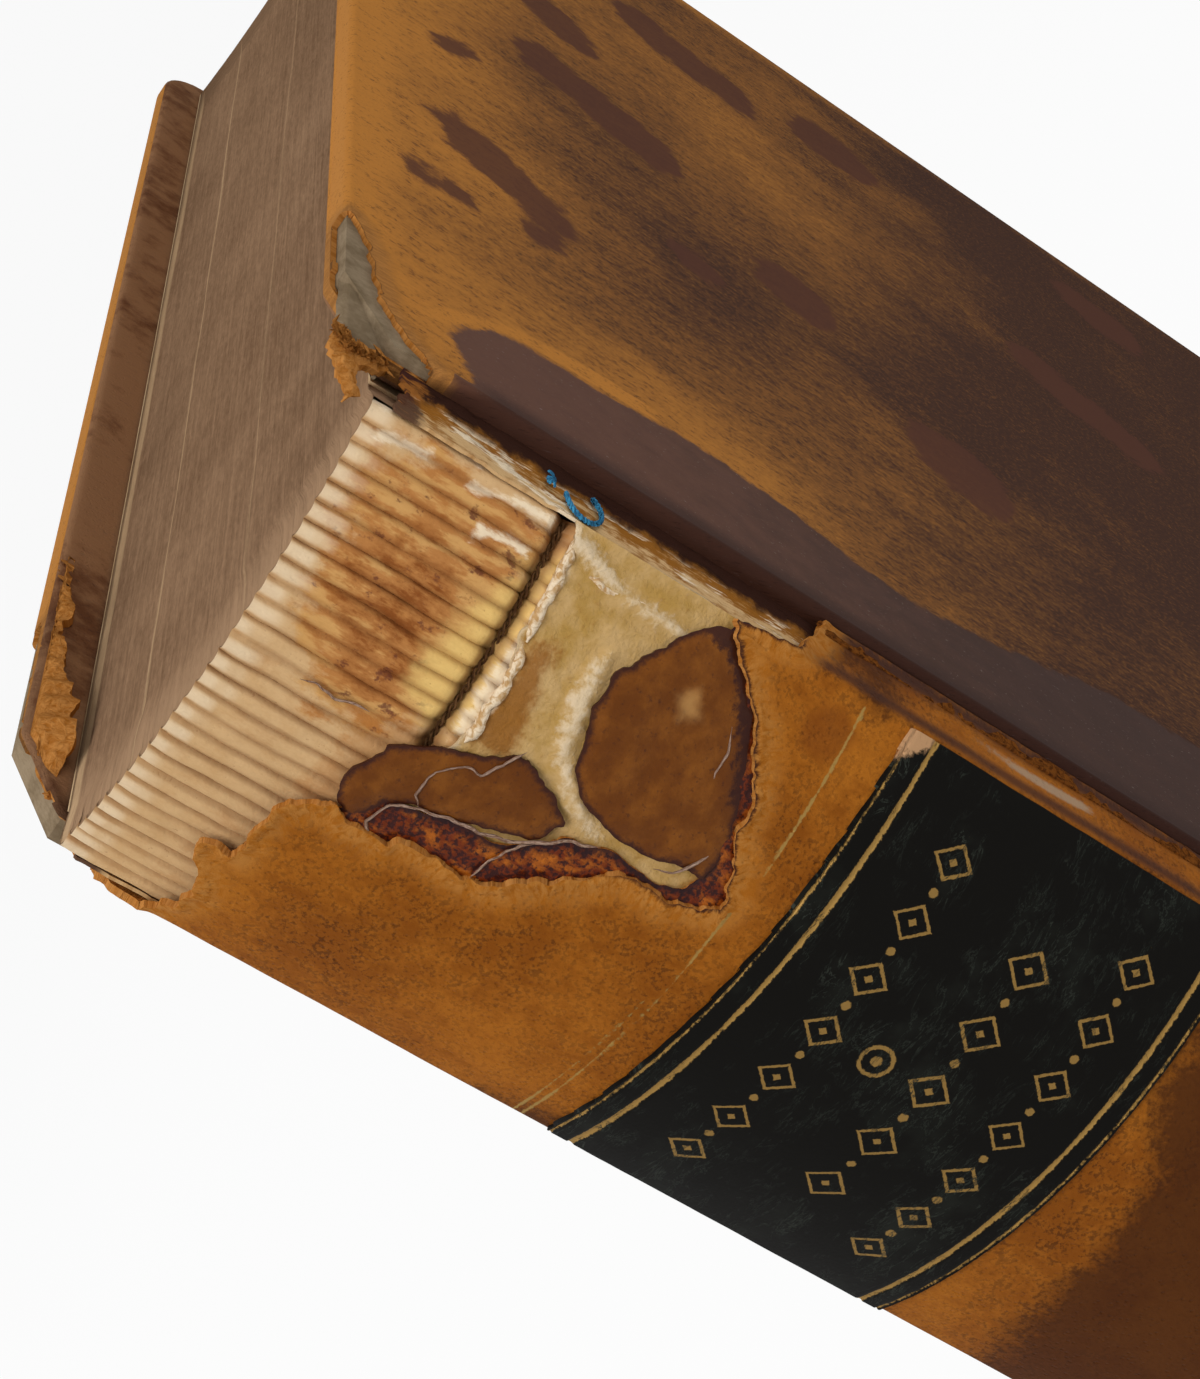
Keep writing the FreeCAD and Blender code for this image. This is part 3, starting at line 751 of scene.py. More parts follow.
@dataclass(frozen=True)
class SpineSkin:
    """Leather of the spine: orange-brown with dark specks, stained patches and gilt fillets, with painted
    shade towards the joints and along part of the torn edge.
    """

    orange: Colour = (0.36, 0.118, 0.010)
    deep: Colour = (0.205, 0.058, 0.004)
    dark: Colour = (0.045, 0.012, 0.003)
    suede: Colour = (0.47, 0.200, 0.042)
    gilt: Colour = (0.34, 0.215, 0.060)
    worn: Colour = (0.36, 0.26, 0.17)
    ring: Colour = (0.16, 0.040, 0.004)
    # Painted shade of the joint crease.
    crease: Colour = (0.050, 0.018, 0.010)
    # Painted shadow along the torn edge.
    dark_stain_and_shadow: Colour = (0.030, 0.008, 0.008)

    def make(self) -> Finish:
        """The material of the grain side.

        Returns:
            The material.
        """
        s = Shader("spine_leather_grain")
        stain, torn, gold = s.measures("stain", "torn", "gold")
        cloud = s.noise(0.09, 4, 0.6)
        grain = s.noise(1.1, 5, 0.65, stretch=(1, 0.6, 1))
        speck = s.noise(3.2, 4, 0.7, shift=4)
        pores = s.cells(2.4, stretch=(1, 0.75, 1))
        nap = s.noise(1.0, 5, 0.75, warp=0.5, stretch=(2.4, 1, 1), place=s.place("fringe"))
        s.tone = s.mix((cloud + (grain - 0.5) * 0.8).step(0.3, 0.72), self.deep, self.orange)
        dots = (speck * 0.6 + grain * 0.4).step(0.50, 0.57)
        s.over(dots * (cloud.step(0.65, 0.30) * 0.45 + 0.22), self.dark)
        ragged = stain + (grain - 0.5) * 4.5 + (speck - 0.5) * 3.0 + (cloud - 0.5) * 14
        s.over(ragged.step(-1.0, 2.4) * 0.86, self.dark)
        s.over(s.measure("ring").step(0.0, 1.0) * 0.6, self.ring)
        # Painted shade: darkens the leather where it runs into the joint crease.
        s.over(s.measure("crease") + (grain - 0.5) * 0.3, self.crease)
        s.over((s.measure("rubbed") + (speck - 0.5) * 0.8).step(0.2, 0.7) * 0.75, self.worn)
        near = (torn + (nap - 0.5) * 2.4).step(2.5, 0.5)
        s.over(near * 0.8, s.mix(nap.step(0.38, 0.62), self.orange, self.suede))
        # Painted shadow: near-black within 0.3 mm of the torn edge, on the front part of the tear.
        dark = (torn + (nap - 0.5) * 0.9).step(0.30, 0.0) * s.measure("scorched")
        s.over(dark * 0.9, self.dark_stain_and_shadow)
        leaf = (gold + (speck - 0.5) * 0.30 + (grain - 0.5) * 0.25).step(-0.02, 0.07)
        s.over(leaf * 0.85, self.gilt)
        height = grain * 0.4 + pores.step(0.05, 0.35) * 0.4 + speck * 0.3 + nap * near * 0.6
        rough = 0.55 + speck * 0.2 + near * 0.2
        return s.close(rough, height, 0.15, gloss=0.04, Metallic=leaf * 0.5,
                       Coat_Weight=0.04, Coat_Roughness=0.28)


@dataclass(frozen=True)
class FleshSide:
    """Torn edges and the flesh side of the leather, fibrous and tan."""

    pale: Colour = (0.50, 0.215, 0.055)
    deep: Colour = (0.34, 0.118, 0.018)

    def make(self) -> Finish:
        """The material.

        Returns:
            The material.
        """
        s = Shader("torn_flesh_side")
        fibres = s.noise(2.6, 5, 0.7, warp=0.6)
        s.tone = s.mix(fibres.step(0.34, 0.60), self.deep, self.pale)
        return s.close(0.9, fibres, 0.25)


@dataclass(frozen=True)
class HardScrap:
    """Hardened under layer of the torn leather, smooth, brown and glossy, with a painted glint and painted
    shade along one edge.
    """

    brown: Colour = (0.112, 0.030, 0.002)
    amber: Colour = (0.195, 0.062, 0.006)
    dark: Colour = (0.026, 0.006, 0.005)
    # Pale colour of the painted glint on the upper scrap.
    pale: Colour = (0.42, 0.22, 0.07)

    def make(self) -> Finish:
        """The material.

        Returns:
            The material.
        """
        s = Shader("hardened_under_layer")
        rim, spot = s.measures("torn", "spot")
        cloud = s.noise(0.40, 4, 0.62)
        speck = s.noise(2.4, 4, 0.65, shift=5)
        s.tone = s.mix(cloud.step(0.38, 0.72), self.brown, self.amber)
        s.over(speck.step(0.56, 0.70) * 0.5, self.dark)
        # Painted highlight: a pale glint on the glossy upper scrap.
        s.over((spot + (cloud - 0.5) * 1.5).step(-0.3, 0.9) * 0.7, self.pale)
        # Painted shade along the right edge of the upper scrap, and a dark rim at every torn edge.
        burnt = (s.measure("burnt") + (speck - 0.5) * 2.0 + (cloud - 0.5)).step(-0.2, 0.5)
        s.over(burnt.higher((rim + (speck - 0.5) * 0.9).step(0.45, 0.05)) * 0.88, self.dark)
        return s.close(0.30 + speck * 0.25, cloud * 0.6 + speck * 0.4, 0.14, gloss=0.05,
                       Coat_Weight=0.16, Coat_Roughness=0.2)


@dataclass(frozen=True)
class RedUnder:
    """Dark red layer under the torn edge of the spine leather."""

    red: Colour = (0.125, 0.018, 0.002)
    amber: Colour = (0.40, 0.110, 0.009)
    dark: Colour = (0.018, 0.005, 0.006)

    def make(self) -> Finish:
        """The material.

        Returns:
            The material.
        """
        s = Shader("dark_red_under_layer")
        cloud = s.noise(0.7, 4, 0.65, stretch=(1, 0.5, 1))
        speck = s.noise(3.0, 3, 0.6, shift=2)
        s.tone = s.mix(cloud.step(0.46, 0.70), self.red, self.amber)
        s.over((speck * 0.6 + cloud * 0.4).step(0.53, 0.44) * 0.85, self.dark)
        s.over((s.measure("torn") + (speck - 0.5)).step(0.7, 0.1) * 0.9, self.dark)
        return s.close(0.30 + speck * 0.3, cloud + speck * 0.6, 0.25, gloss=0.05,
                       Coat_Weight=0.18, Coat_Roughness=0.18)


@dataclass(frozen=True)
class LabelSkin:
    """Black label with a cracked, greenish bloom, gilt fillets and rows of small gilt tools."""

    black: Colour = (0.0045, 0.0040, 0.0032)
    bloom: Colour = (0.016, 0.018, 0.014)
    crack: Colour = (0.050, 0.058, 0.045)
    gilt: Colour = (0.30, 0.175, 0.048)
    chip: Colour = (0.42, 0.24, 0.12)

    def make(self) -> Finish:
        """The material.

        Returns:
            The material.
        """
        s = Shader("black_label_skin")
        across, down = s.axis(0), s.axis(1)
        speck = s.noise(3.5, 3, 0.65)
        cloud = s.noise(0.22, 4, 0.6, shift=7)
        veins = s.noise(0.75, 6, 0.72, warp=0.6, stretch=(0.30, 1, 1), shift=2)
        line = abs(veins - 0.5).step(0.016, 0.003) * cloud.step(0.44, 0.58)
        s.tone = s.mix(cloud.step(0.48, 0.8) * 0.6, self.black, self.bloom)
        s.over(line * 0.55, self.crack)
        rubbed = (speck - 0.5) * 0.30 + (cloud - 0.5) * 0.20
        lines = (s.measure("gold") + rubbed).step(-0.03, 0.05)
        leaf = lines.higher((self._tools(across, down) + rubbed).step(-0.02, 0.05) * 0.8)
        s.over(leaf * (1 - line), self.gilt)
        s.over((s.measure("chip") + (speck - 0.5) * 0.7).step(0.0, 0.3), self.chip)
        height = speck * 0.3 - line * 0.8 - leaf * 0.4
        return s.close(0.42 + speck * 0.2, height, 0.08, gloss=0.03, Metallic=leaf * 0.4,
                       Coat_Weight=0.03, Coat_Roughness=0.25)

    @staticmethod
    def _tools(across: Value, down: Value) -> Value:
        """Rows of lozenges and dots, and one small rosette.

        Args:
            across: Distance round the spine.
            down: Depth below the head of the leaves.

        Returns:
            Depth inside the nearest tool.
        """
        found = None
        skewed = down - across * 0.055
        for middle, pitch, size, reach in ((42.6, 4.1, 1.45, 14.0), (50.6, 4.6, 1.6, 11.1),
                                           (56.6, 4.1, 1.45, 14.0)):
            rise = abs(skewed - middle)
            lozenge = size - (abs(across % pitch) * 1.15 + rise)
            dot = 0.30 - ((abs(across % pitch) - pitch / 2) ** 2 + rise**2) ** 0.5
            row = lozenge.lower(0.34 - lozenge).higher(dot).higher(lozenge - size + 0.35)
            row = row.lower(reach - abs(across))
            found = row if found is None else found.higher(row)
        far = (across**2 + (skewed - 46.6) ** 2) ** 0.5
        return found.higher((0.14 - abs(far - 1.0)).higher(0.36 - far))


@dataclass(frozen=True)
class FoldPaper:
    """Folds of the sections on the spine: cream, soaked with brown glue, streaked with white, with painted
    shade in the grooves and a painted highlight on the crests at the head.
    """

    cream: Colour = (0.60, 0.385, 0.190)
    soiled: Colour = (0.47, 0.26, 0.10)
    streaked: Colour = (0.42, 0.20, 0.075)
    tan: Colour = (0.56, 0.290, 0.085)
    amber: Colour = (0.40, 0.140, 0.024)
    brown: Colour = (0.200, 0.052, 0.010)
    # Dark stain spots in the glue-soaked folds.
    dark_stain_and_shadow: Colour = (0.120, 0.035, 0.022)
    yellow: Colour = (0.78, 0.53, 0.180)
    # White of dried glue, also used for the painted highlight on the crests.
    white: Colour = (0.84, 0.70, 0.50)
    # Painted shade in the grooves between the folds and in the kettle groove.
    groove: Colour = (0.17, 0.058, 0.016)

    def make(self) -> Finish:
        """The material.

        Returns:
            The material.
        """
        s = Shader("glued_folds")
        stain, core, yellow, glue, groove, lower, streak = s.measures(
            "stain", "core", "yellow", "glue", "groove", "lower", "streak")
        cloud = s.noise(0.45, 4, 0.65)
        grain = s.noise(1.5, 4, 0.7, stretch=(1, 0.35, 1), shift=3)
        speck = s.noise(4.0, 3, 0.6, shift=8)
        rib = s.noise(1.0, 4, 0.6, stretch=(1.25, 0.30, 1), shift=12)
        spots = s.noise(0.9, 4, 0.7, stretch=(1, 0.7, 1), shift=21)
        edge = streak * 1.2 + (cloud - 0.5) * 3.0 + (grain - 0.5) * 2.4
        s.tone = s.mix((cloud * 0.6 + grain * 0.4).step(0.35, 0.7) * 0.5, self.cream, self.soiled)
        s.over((streak + (grain - 0.5) * 1.6).step(0.1, 0.9) * 0.45, self.streaked)
        s.over((lower + edge).step(-0.8, 1.0) * 0.40, self.amber)
        soaked = (stain + edge * 1.3).step(-0.7, 0.9)
        middle = (core + edge * 1.6).step(-1.2, 1.6)
        s.over(soaked * 0.80, s.mix((rib + middle * 0.12).step(0.40, 0.56), self.tan, self.amber))
        s.over(middle * (rib * 0.6 + grain * 0.4).step(0.43, 0.59) * 0.85, self.brown)
        s.over(soaked * spots.step(0.57, 0.68) * 0.8, self.dark_stain_and_shadow)
        s.over((yellow + edge * 0.8).step(-0.6, 1.0) * 0.75, self.yellow)
        s.over((grain * 0.6 + speck * 0.4).step(0.40, 0.33) * 0.35, self.brown)
        s.over((glue + (grain - 0.5) * 1.8).step(-0.1, 0.4) * 0.85, self.white)
        # Painted shade: darkens the grooves between the folds and the kettle groove.
        s.over(groove * (0.40 + grain * 0.5), self.groove)
        # Painted highlight: white along the crests of the folds at the head.
        s.over(s.measure("crest") * 0.5, self.white)
        return s.close(0.7 + speck * 0.2, grain * 0.6 + speck * 0.35, 0.14, gloss=0.03)


@dataclass(frozen=True)
class LeafEdge:
    """Cut edges of the leaves: dusty grey-brown, streaked along the leaves, with a few pale ones."""

    dust: Colour = (0.34, 0.205, 0.118)
    shade: Colour = (0.17, 0.095, 0.052)
    pale: Colour = (0.62, 0.42, 0.235)
    # Lighter tone, laid on towards the spine.
    lighter_near_spine: Colour = (0.42, 0.27, 0.155)

    def make(self) -> Finish:
        """The material.

        Returns:
            The material.
        """
        s = Shader("dusty_leaf_edges")
        pale, light = s.measures("pale", "light")
        streak = s.noise(1.0, 5, 0.75, stretch=(0.05, 4.6, 0.05))
        thin = s.noise(1.0, 4, 0.7, stretch=(0.022, 9, 0.022), shift=5)
        cloud = s.noise(0.06, 4, 0.6, shift=2)
        speck = s.noise(2.6, 4, 0.75, stretch=(0.30, 1.4, 0.30), shift=8)
        s.tone = s.mix((streak * 0.5 + speck * 0.5 + (cloud - 0.5) * 0.4 + light * 0.2).step(0.28, 0.74),
                       self.shade, self.dust)
        s.over(thin.step(0.68, 0.76) * 0.4, self.pale)
        s.over(thin.step(0.40, 0.30) * 0.45, self.shade)
        s.over(pale * (0.6 + speck * 0.4), self.pale)
        # Lighter within about 9 mm of the spine.
        s.over(light * 0.30, self.lighter_near_spine)
        return s.close(0.9, streak * 0.5 + thin * 0.6 + speck * 0.5, 0.16)


@dataclass(frozen=True)
class PlainPaper:
    """Old paper, foxed and browned."""

    name: str = "old_paper"
    light: Colour = (0.55, 0.42, 0.25)
    brown: Colour = (0.34, 0.205, 0.095)

    def make(self, solid: bool = True) -> Finish:
        """The material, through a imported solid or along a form's own measure.

        Args:
            solid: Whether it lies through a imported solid.

        Returns:
            The material.
        """
        s = Shader(self.name, solid)
        cloud = s.noise(0.03, 5, 0.65)
        fibre = s.noise(1.6, 4, 0.7, stretch=(1, 0.5, 0.6), shift=3)
        spots = s.noise(0.28, 3, 0.5, shift=8)
        s.tone = s.mix((cloud + (fibre - 0.5) * 0.4).step(0.35, 0.75), self.light, self.brown)
        s.over(spots.step(0.66, 0.76) * 0.4, self.brown)
        return s.close(0.9, fibre, 0.05)


@dataclass(frozen=True)
class GluedLining:
    """Paper lining on the spine, soaked yellow, with whitish film and ridges of dried glue."""

    cream: Colour = (0.52, 0.335, 0.140)
    yellow: Colour = (0.40, 0.235, 0.060)
    brown: Colour = (0.25, 0.092, 0.014)
    white: Colour = (0.74, 0.60, 0.42)

    def make(self) -> Finish:
        """The material.

        Returns:
            The material.
        """
        s = Shader("glued_lining")
        glue, rim, soaked = s.measures("glue", "torn", "soaked")
        cloud = s.noise(0.34, 4, 0.65)
        grain = s.noise(1.7, 4, 0.7, shift=3)
        speck = s.noise(4.0, 3, 0.6, shift=6)
        s.tone = s.mix(cloud.step(0.36, 0.66), self.cream, self.yellow)
        s.over((soaked + (cloud - 0.5) * 2.5 + (grain - 0.5) * 1.5).step(-0.7, 0.5) * 0.85, self.brown)
        s.over((cloud * 0.4 + grain * 0.6).step(0.54, 0.70) * 0.45, self.brown)
        s.over((glue + (grain - 0.5) * 2.2 + (cloud - 0.5) * 2.0).step(-0.3, 0.6) * 0.7, self.white)
        s.over((rim + (speck - 0.5) * 0.7).step(0.45, 0.0) * 0.5, self.white)
        return s.close(0.55 + grain * 0.3, grain + speck * 0.4, 0.15, gloss=0.04,
                       Coat_Weight=0.06, Coat_Roughness=0.25)


@dataclass(frozen=True)
class JointCloth:
    """What shows in the joint: cream paper at the shoulder, soaked brown, and painted shade by the board.
    """

    cream: Colour = (0.56, 0.36, 0.17)
    brown: Colour = (0.26, 0.100, 0.014)
    dark: Colour = (0.028, 0.010, 0.006)
    # Painted shade of the crevice by the board.
    white: Colour = (0.80, 0.66, 0.47)
    # Dark at the torn head end of the strip.
    burnt: Colour = (0.050, 0.017, 0.013)
    torn: Colour = (0.30, 0.110, 0.022)

    def make(self) -> Finish:
        """The material.

        Returns:
            The material.
        """
        s = Shader("joint_cloth")
        across, down = s.axis(0), s.axis(1)
        streak = s.noise(0.9, 4, 0.7, stretch=(2.2, 0.30, 1))
        cloud = s.noise(0.5, 4, 0.65, shift=4)
        lumps = s.noise(0.6, 4, 0.6, stretch=(1.8, 0.34, 1), shift=11)
        s.tone = s.mix((across + (streak - 0.5) * 6.0 + (cloud - 0.5) * 3.0).step(0.3, 1.5), self.cream,
                       self.brown)
        s.over((streak * 0.6 + cloud * 0.4).step(0.47, 0.58) * 0.65, self.brown)
        s.over((lumps + (streak - 0.5) * 0.8).step(0.53, 0.62) * across.step(2.2, 1.5) * 0.9, self.white)
        # Painted shade: dark towards the board, in the crevice under its edge.
        s.over((across + (cloud - 0.5) * 2.6).step(1.6, 2.5), self.dark)
        s.over((down + (cloud - 0.5) * 5 + (streak - 0.5) * 3).step(3.4, 2.0) * 0.9,
               s.mix(lumps.step(0.46, 0.54), self.burnt, self.torn))
        return s.close(0.6 + cloud * 0.3, streak + lumps.step(0.58, 0.7), 0.2, gloss=0.04)


@dataclass(frozen=True)
class GreyBoard:
    """Grey-green millboard where the leather is gone."""

    light: Colour = (0.295, 0.222, 0.142)
    dark: Colour = (0.170, 0.120, 0.070)

    def make(self) -> Finish:
        """The material.

        Returns:
            The material.
        """
        s = Shader("grey_millboard", solid=True)
        cloud = s.noise(0.35, 3, 0.6)
        fibre = s.noise(3.0, 4, 0.7, stretch=(0.6, 1.6, 0.6), shift=3)
        s.tone = s.mix((cloud * 0.65 + fibre * 0.35).step(0.34, 0.66), self.dark, self.light)
        return s.close(0.9, fibre, 0.08)


@dataclass(frozen=True)
class Thread:
    """Twisted linen or hemp, dried glue in threads, or what is left of the blue silk."""

    name: str
    light: Colour
    dark: Colour
    shine: float = 0.75

    def make(self, solid: bool = True) -> Finish:
        """The material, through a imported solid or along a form's own measure.

        Args:
            solid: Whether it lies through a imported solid.

        Returns:
            The material.
        """
        s = Shader(self.name, solid)
        twist = s.noise(2.2, 3, 0.6, warp=1.0)
        s.tone = s.mix(twist.step(0.35, 0.65), self.dark, self.light)
        return s.close(self.shine, twist, 0.12, gloss=0.04)


# Outlines on the spine: distance round it from its middle, and depth below the head.
SPINE_TEAR = Patch((
    (-24, 2.6), (-19.6, 3.2), (-17.6, 6.4), (-15.2, 7.3), (-13, 7.4), (-11, 6.3), (-9.3, 5.3),
    (-9.2, 7.9), (-6.9, 7.4), (-4.3, 8.2), (-3.1, 10.2), (-3.4, 12), (-3.3, 14.1), (-2.5, 16.3),
    (-3, 19.2), (-2.3, 21.4), (-0.7, 22.5), (0.5, 24.8), (2, 26.8), (2.2, 29.5), (2.6, 31.7),
    (3.2, 32.8), (4.8, 32.5), (5.8, 31.8), (7.7, 30.8), (9.2, 30.4), (10.7, 29.9), (14.3, 27.5),
    (16.7, 25), (17.6, 24.1), (18.1, 26), (18.3, 28.4), (20.4, 29.8), (24, 30.6),
    (24, 260), (-24, 260),
), ragged=0.55, wave=2.2, teeth=0.34, tooth=0.8, seed=11)
# Where the torn edge of the spine leather gets a painted shadow.
TEAR_SHADOW_AREA = Patch(((1, 24), (20, 22), (20, 34), (1, 34)))
UNDER_TEAR = Patch((
    (-4.6, 9.6), (-2.6, 11.6), (-1.4, 12.4), (-1, 14.2), (-0.2, 16.4), (-0.1, 18.5), (0.5, 20.9),
    (2.1, 23), (2.7, 25.4), (2.6, 28.3), (3, 30.6), (4.6, 30.8), (6.6, 30.2), (9, 29),
    (12, 27.6), (14.6, 25.6), (16.6, 23.6), (18.3, 25), (15, 29), (9, 32.4), (4, 34.2),
    (1.2, 32.8), (0, 28.6), (-2, 25.2), (-4.5, 22.4), (-5.2, 18), (-5.2, 13),
), ragged=0.5, wave=1.6, teeth=0.2, seed=23)
LINING_TEAR = Patch((
    (-18.6, 9.4), (-4.6, 11.2), (1.2, 13.3), (3.8, 14.2), (8, 14.5), (11, 14.2), (14.4, 13.9),
    (18.7, 13.2), (18.7, 260), (-18.6, 260),
), ragged=0.6, wave=1.8, teeth=0.25, seed=31)
UPPER_SCRAP = Patch((
    (14.5, 21.4), (16.5, 22.8), (17.1, 24.5), (14.8, 27.1), (11.9, 28.9), (9.3, 29.9), (6.6, 31),
    (4.2, 30.8), (3.6, 26.9), (3.8, 24.2), (4.5, 21.9), (6.3, 20.5), (9.1, 19.7), (11.6, 19.7),
), ragged=0.3, wave=1.5, teeth=0.12, seed=41)
LOWER_SCRAP = Patch((
    (-2.9, 10.2), (-0.6, 9.9), (1.6, 10.8), (2.7, 12.7), (3.6, 15.1), (4.8, 17.4), (4.4, 19.6),
    (2.9, 22.2), (1.1, 20.8), (0.2, 18.2), (-0.2, 15.8), (-0.6, 14.1), (-1.6, 12.6), (-3.1, 11.6),
), ragged=0.35, wave=1.5, teeth=0.12, seed=43)
# Where the upper scrap gets a painted glint.
SCRAP_GLINT = Patch(((12.4, 23), (13.4, 24.4), (11.8, 25.5), (11, 24.2)))
# Where the upper scrap gets painted shade along its right edge.
SCRAP_EDGE_SHADE = Patch((
    (16.4, 21.4), (18.5, 22), (18.5, 26), (15, 29), (8, 32), (8.4, 29.3), (11.4, 28),
    (13.9, 26.4), (15.7, 24.6), (15.9, 23.6), (16, 22.6),
))
GLUE_STAIN = Patch((
    (5.4, 2.2), (10.3, 1.6), (13.5, 0.9), (15.9, 1.6), (17, 3), (17.6, 8.4), (16.6, 12.6),
    (11.4, 13.4), (6.6, 13.3), (3, 11.6), (1.4, 9.4), (1.6, 5.8),
))
STAIN_CORE = Patch(((7.5, 4.1), (11.2, 4), (12.6, 6.5), (12.2, 9.2), (8, 10), (4.2, 9.5), (3.4, 7.1),))
YELLOW_FOLDS = Patch((
    (4.6, 10), (10.7, 10.1), (14.6, 12.1), (15.6, 13.9), (13, 14.2), (4.6, 14.8), (2.6, 13.4),
))
LOWER_FOLDS = Patch(((-6, 8.6), (2, 8.8), (4, 13), (19, 13), (19, 36), (-8, 36)))
FOLD_GLUE = (
    Patch(((15.9, 1), (16.8, 1.2), (17, 4.2), (16.3, 4.6))),
    Patch(((17.4, 6.2), (18.6, 5.4), (18.9, 9.4), (18.6, 12.2), (17.8, 11.9), (17.9, 8.8))),
    Patch(((16, 6.8), (16.8, 7.2), (17.4, 10), (17.6, 12.6), (16.6, 12.6), (16.6, 9.6))),
    Patch(((17.2, -1), (18.9, -1), (18.9, 3.4), (17.9, 3))),
    Patch(((3.2, 13.6), (6.9, 13.5), (12, 13.9), (16.2, 14.2), (16.6, 15.6), (12.6, 15.2),
           (8, 15.2), (4, 14.3))),
    Patch(((13.6, 8.4), (15, 8.4), (15.4, 11.8), (14.6, 12), (14.2, 9.4))),
)
LINING_GLUE = (
    Patch(((16.6, 13.4), (17.6, 13.6), (16.8, 15.4), (15.9, 17.6), (15.7, 21.8), (15.1, 22.4),
           (15.3, 18.4), (15.9, 15.6))),
    Patch(((18.4, 14.4), (19, 14.6), (19, 23), (18, 22.4))),
    Patch(((9.2, 18.2), (11.4, 18.2), (12.6, 18.9), (9.8, 19.3), (6.4, 19.9), (4.6, 22),
           (3.2, 24.4), (2.8, 23.4), (4.3, 20.8), (6.2, 19.1))),
)
LINING_SOAKED = (
    Patch(((4.2, 14.4), (10.6, 14.6), (11, 15.9), (7.8, 16.6), (4.4, 17.2))),
    Patch(((-18, 26), (18, 34), (18, 240), (-18, 240))),
)
SPINE_STAINS = (
    Patch(((19, 29.6), (22.4, 30.4), (22.4, 38), (19.4, 37.4), (18.6, 34))),
    Patch(((-24, 26), (-19, 29), (-16.6, 32.2), (-16, 35.6), (-24, 36))),
    Patch(((24, 62), (8, 63.5), (-1, 66), (-9, 66.6), (-24, 68.5), (-24, 92),
           (-10, 98), (10, 94), (24, 97))),
    Patch(((-24, 216), (24, 213), (24, 240), (-24, 240))),
    Patch(((-20, 130), (-6, 124), (4, 131), (-3, 148), (-17, 146))),
    Patch(((8, 168), (19, 160), (22, 188), (12, 192))),
)
DARK_RING = Patch(((12.9, 31.2), (14.6, 30.2), (16.6, 31), (17.2, 33), (15.6, 34.8), (13, 34)))
# Runs of dried glue on the spine, each with its radius.
GLUE_RUNS = (
    (0.10, ((-3.6, 13.2), (-2.8, 12.4), (-1.3, 12.8), (-0.6, 14.4), (-0.2, 16), (-0.1, 18),
            (0.3, 19.6), (1.1, 21.2), (2.2, 22.7), (2.8, 24.5))),
    (0.07, ((1.1, 21.2), (-0.1, 20.1), (-1.4, 19.6), (-3, 19.4))),
    (0.07, ((-0.6, 14.4), (0.1, 13.7), (1.8, 13.9), (2.9, 15.1), (2.9, 16.2), (4.1, 16.9), (5.4, 17.7))),
    (0.09, ((3.2, 27.9), (3.6, 29), (4.8, 29.9), (5.9, 30.3))),
    (0.08, ((8.3, 28.2), (9.8, 27.8), (11.1, 27.8), (12.4, 27.2))),
    (0.22, ((15.5, 15.3), (15.4, 17), (15.7, 19.3), (15.5, 21.7))),
    (0.34, ((17.1, 13.9), (14.8, 14), (12.1, 14.1), (10.6, 14.3))),
    (0.30, ((10.4, 14.2), (9.4, 14.6), (8.4, 14.5), (7.2, 14.7), (6.2, 14.4), (5.2, 14.7), (3.9, 14.4))),
    (0.07, ((2.2, 4.6), (2.6, 5.6), (2.2, 6.9), (2.7, 8), (2.7, 9))),
)


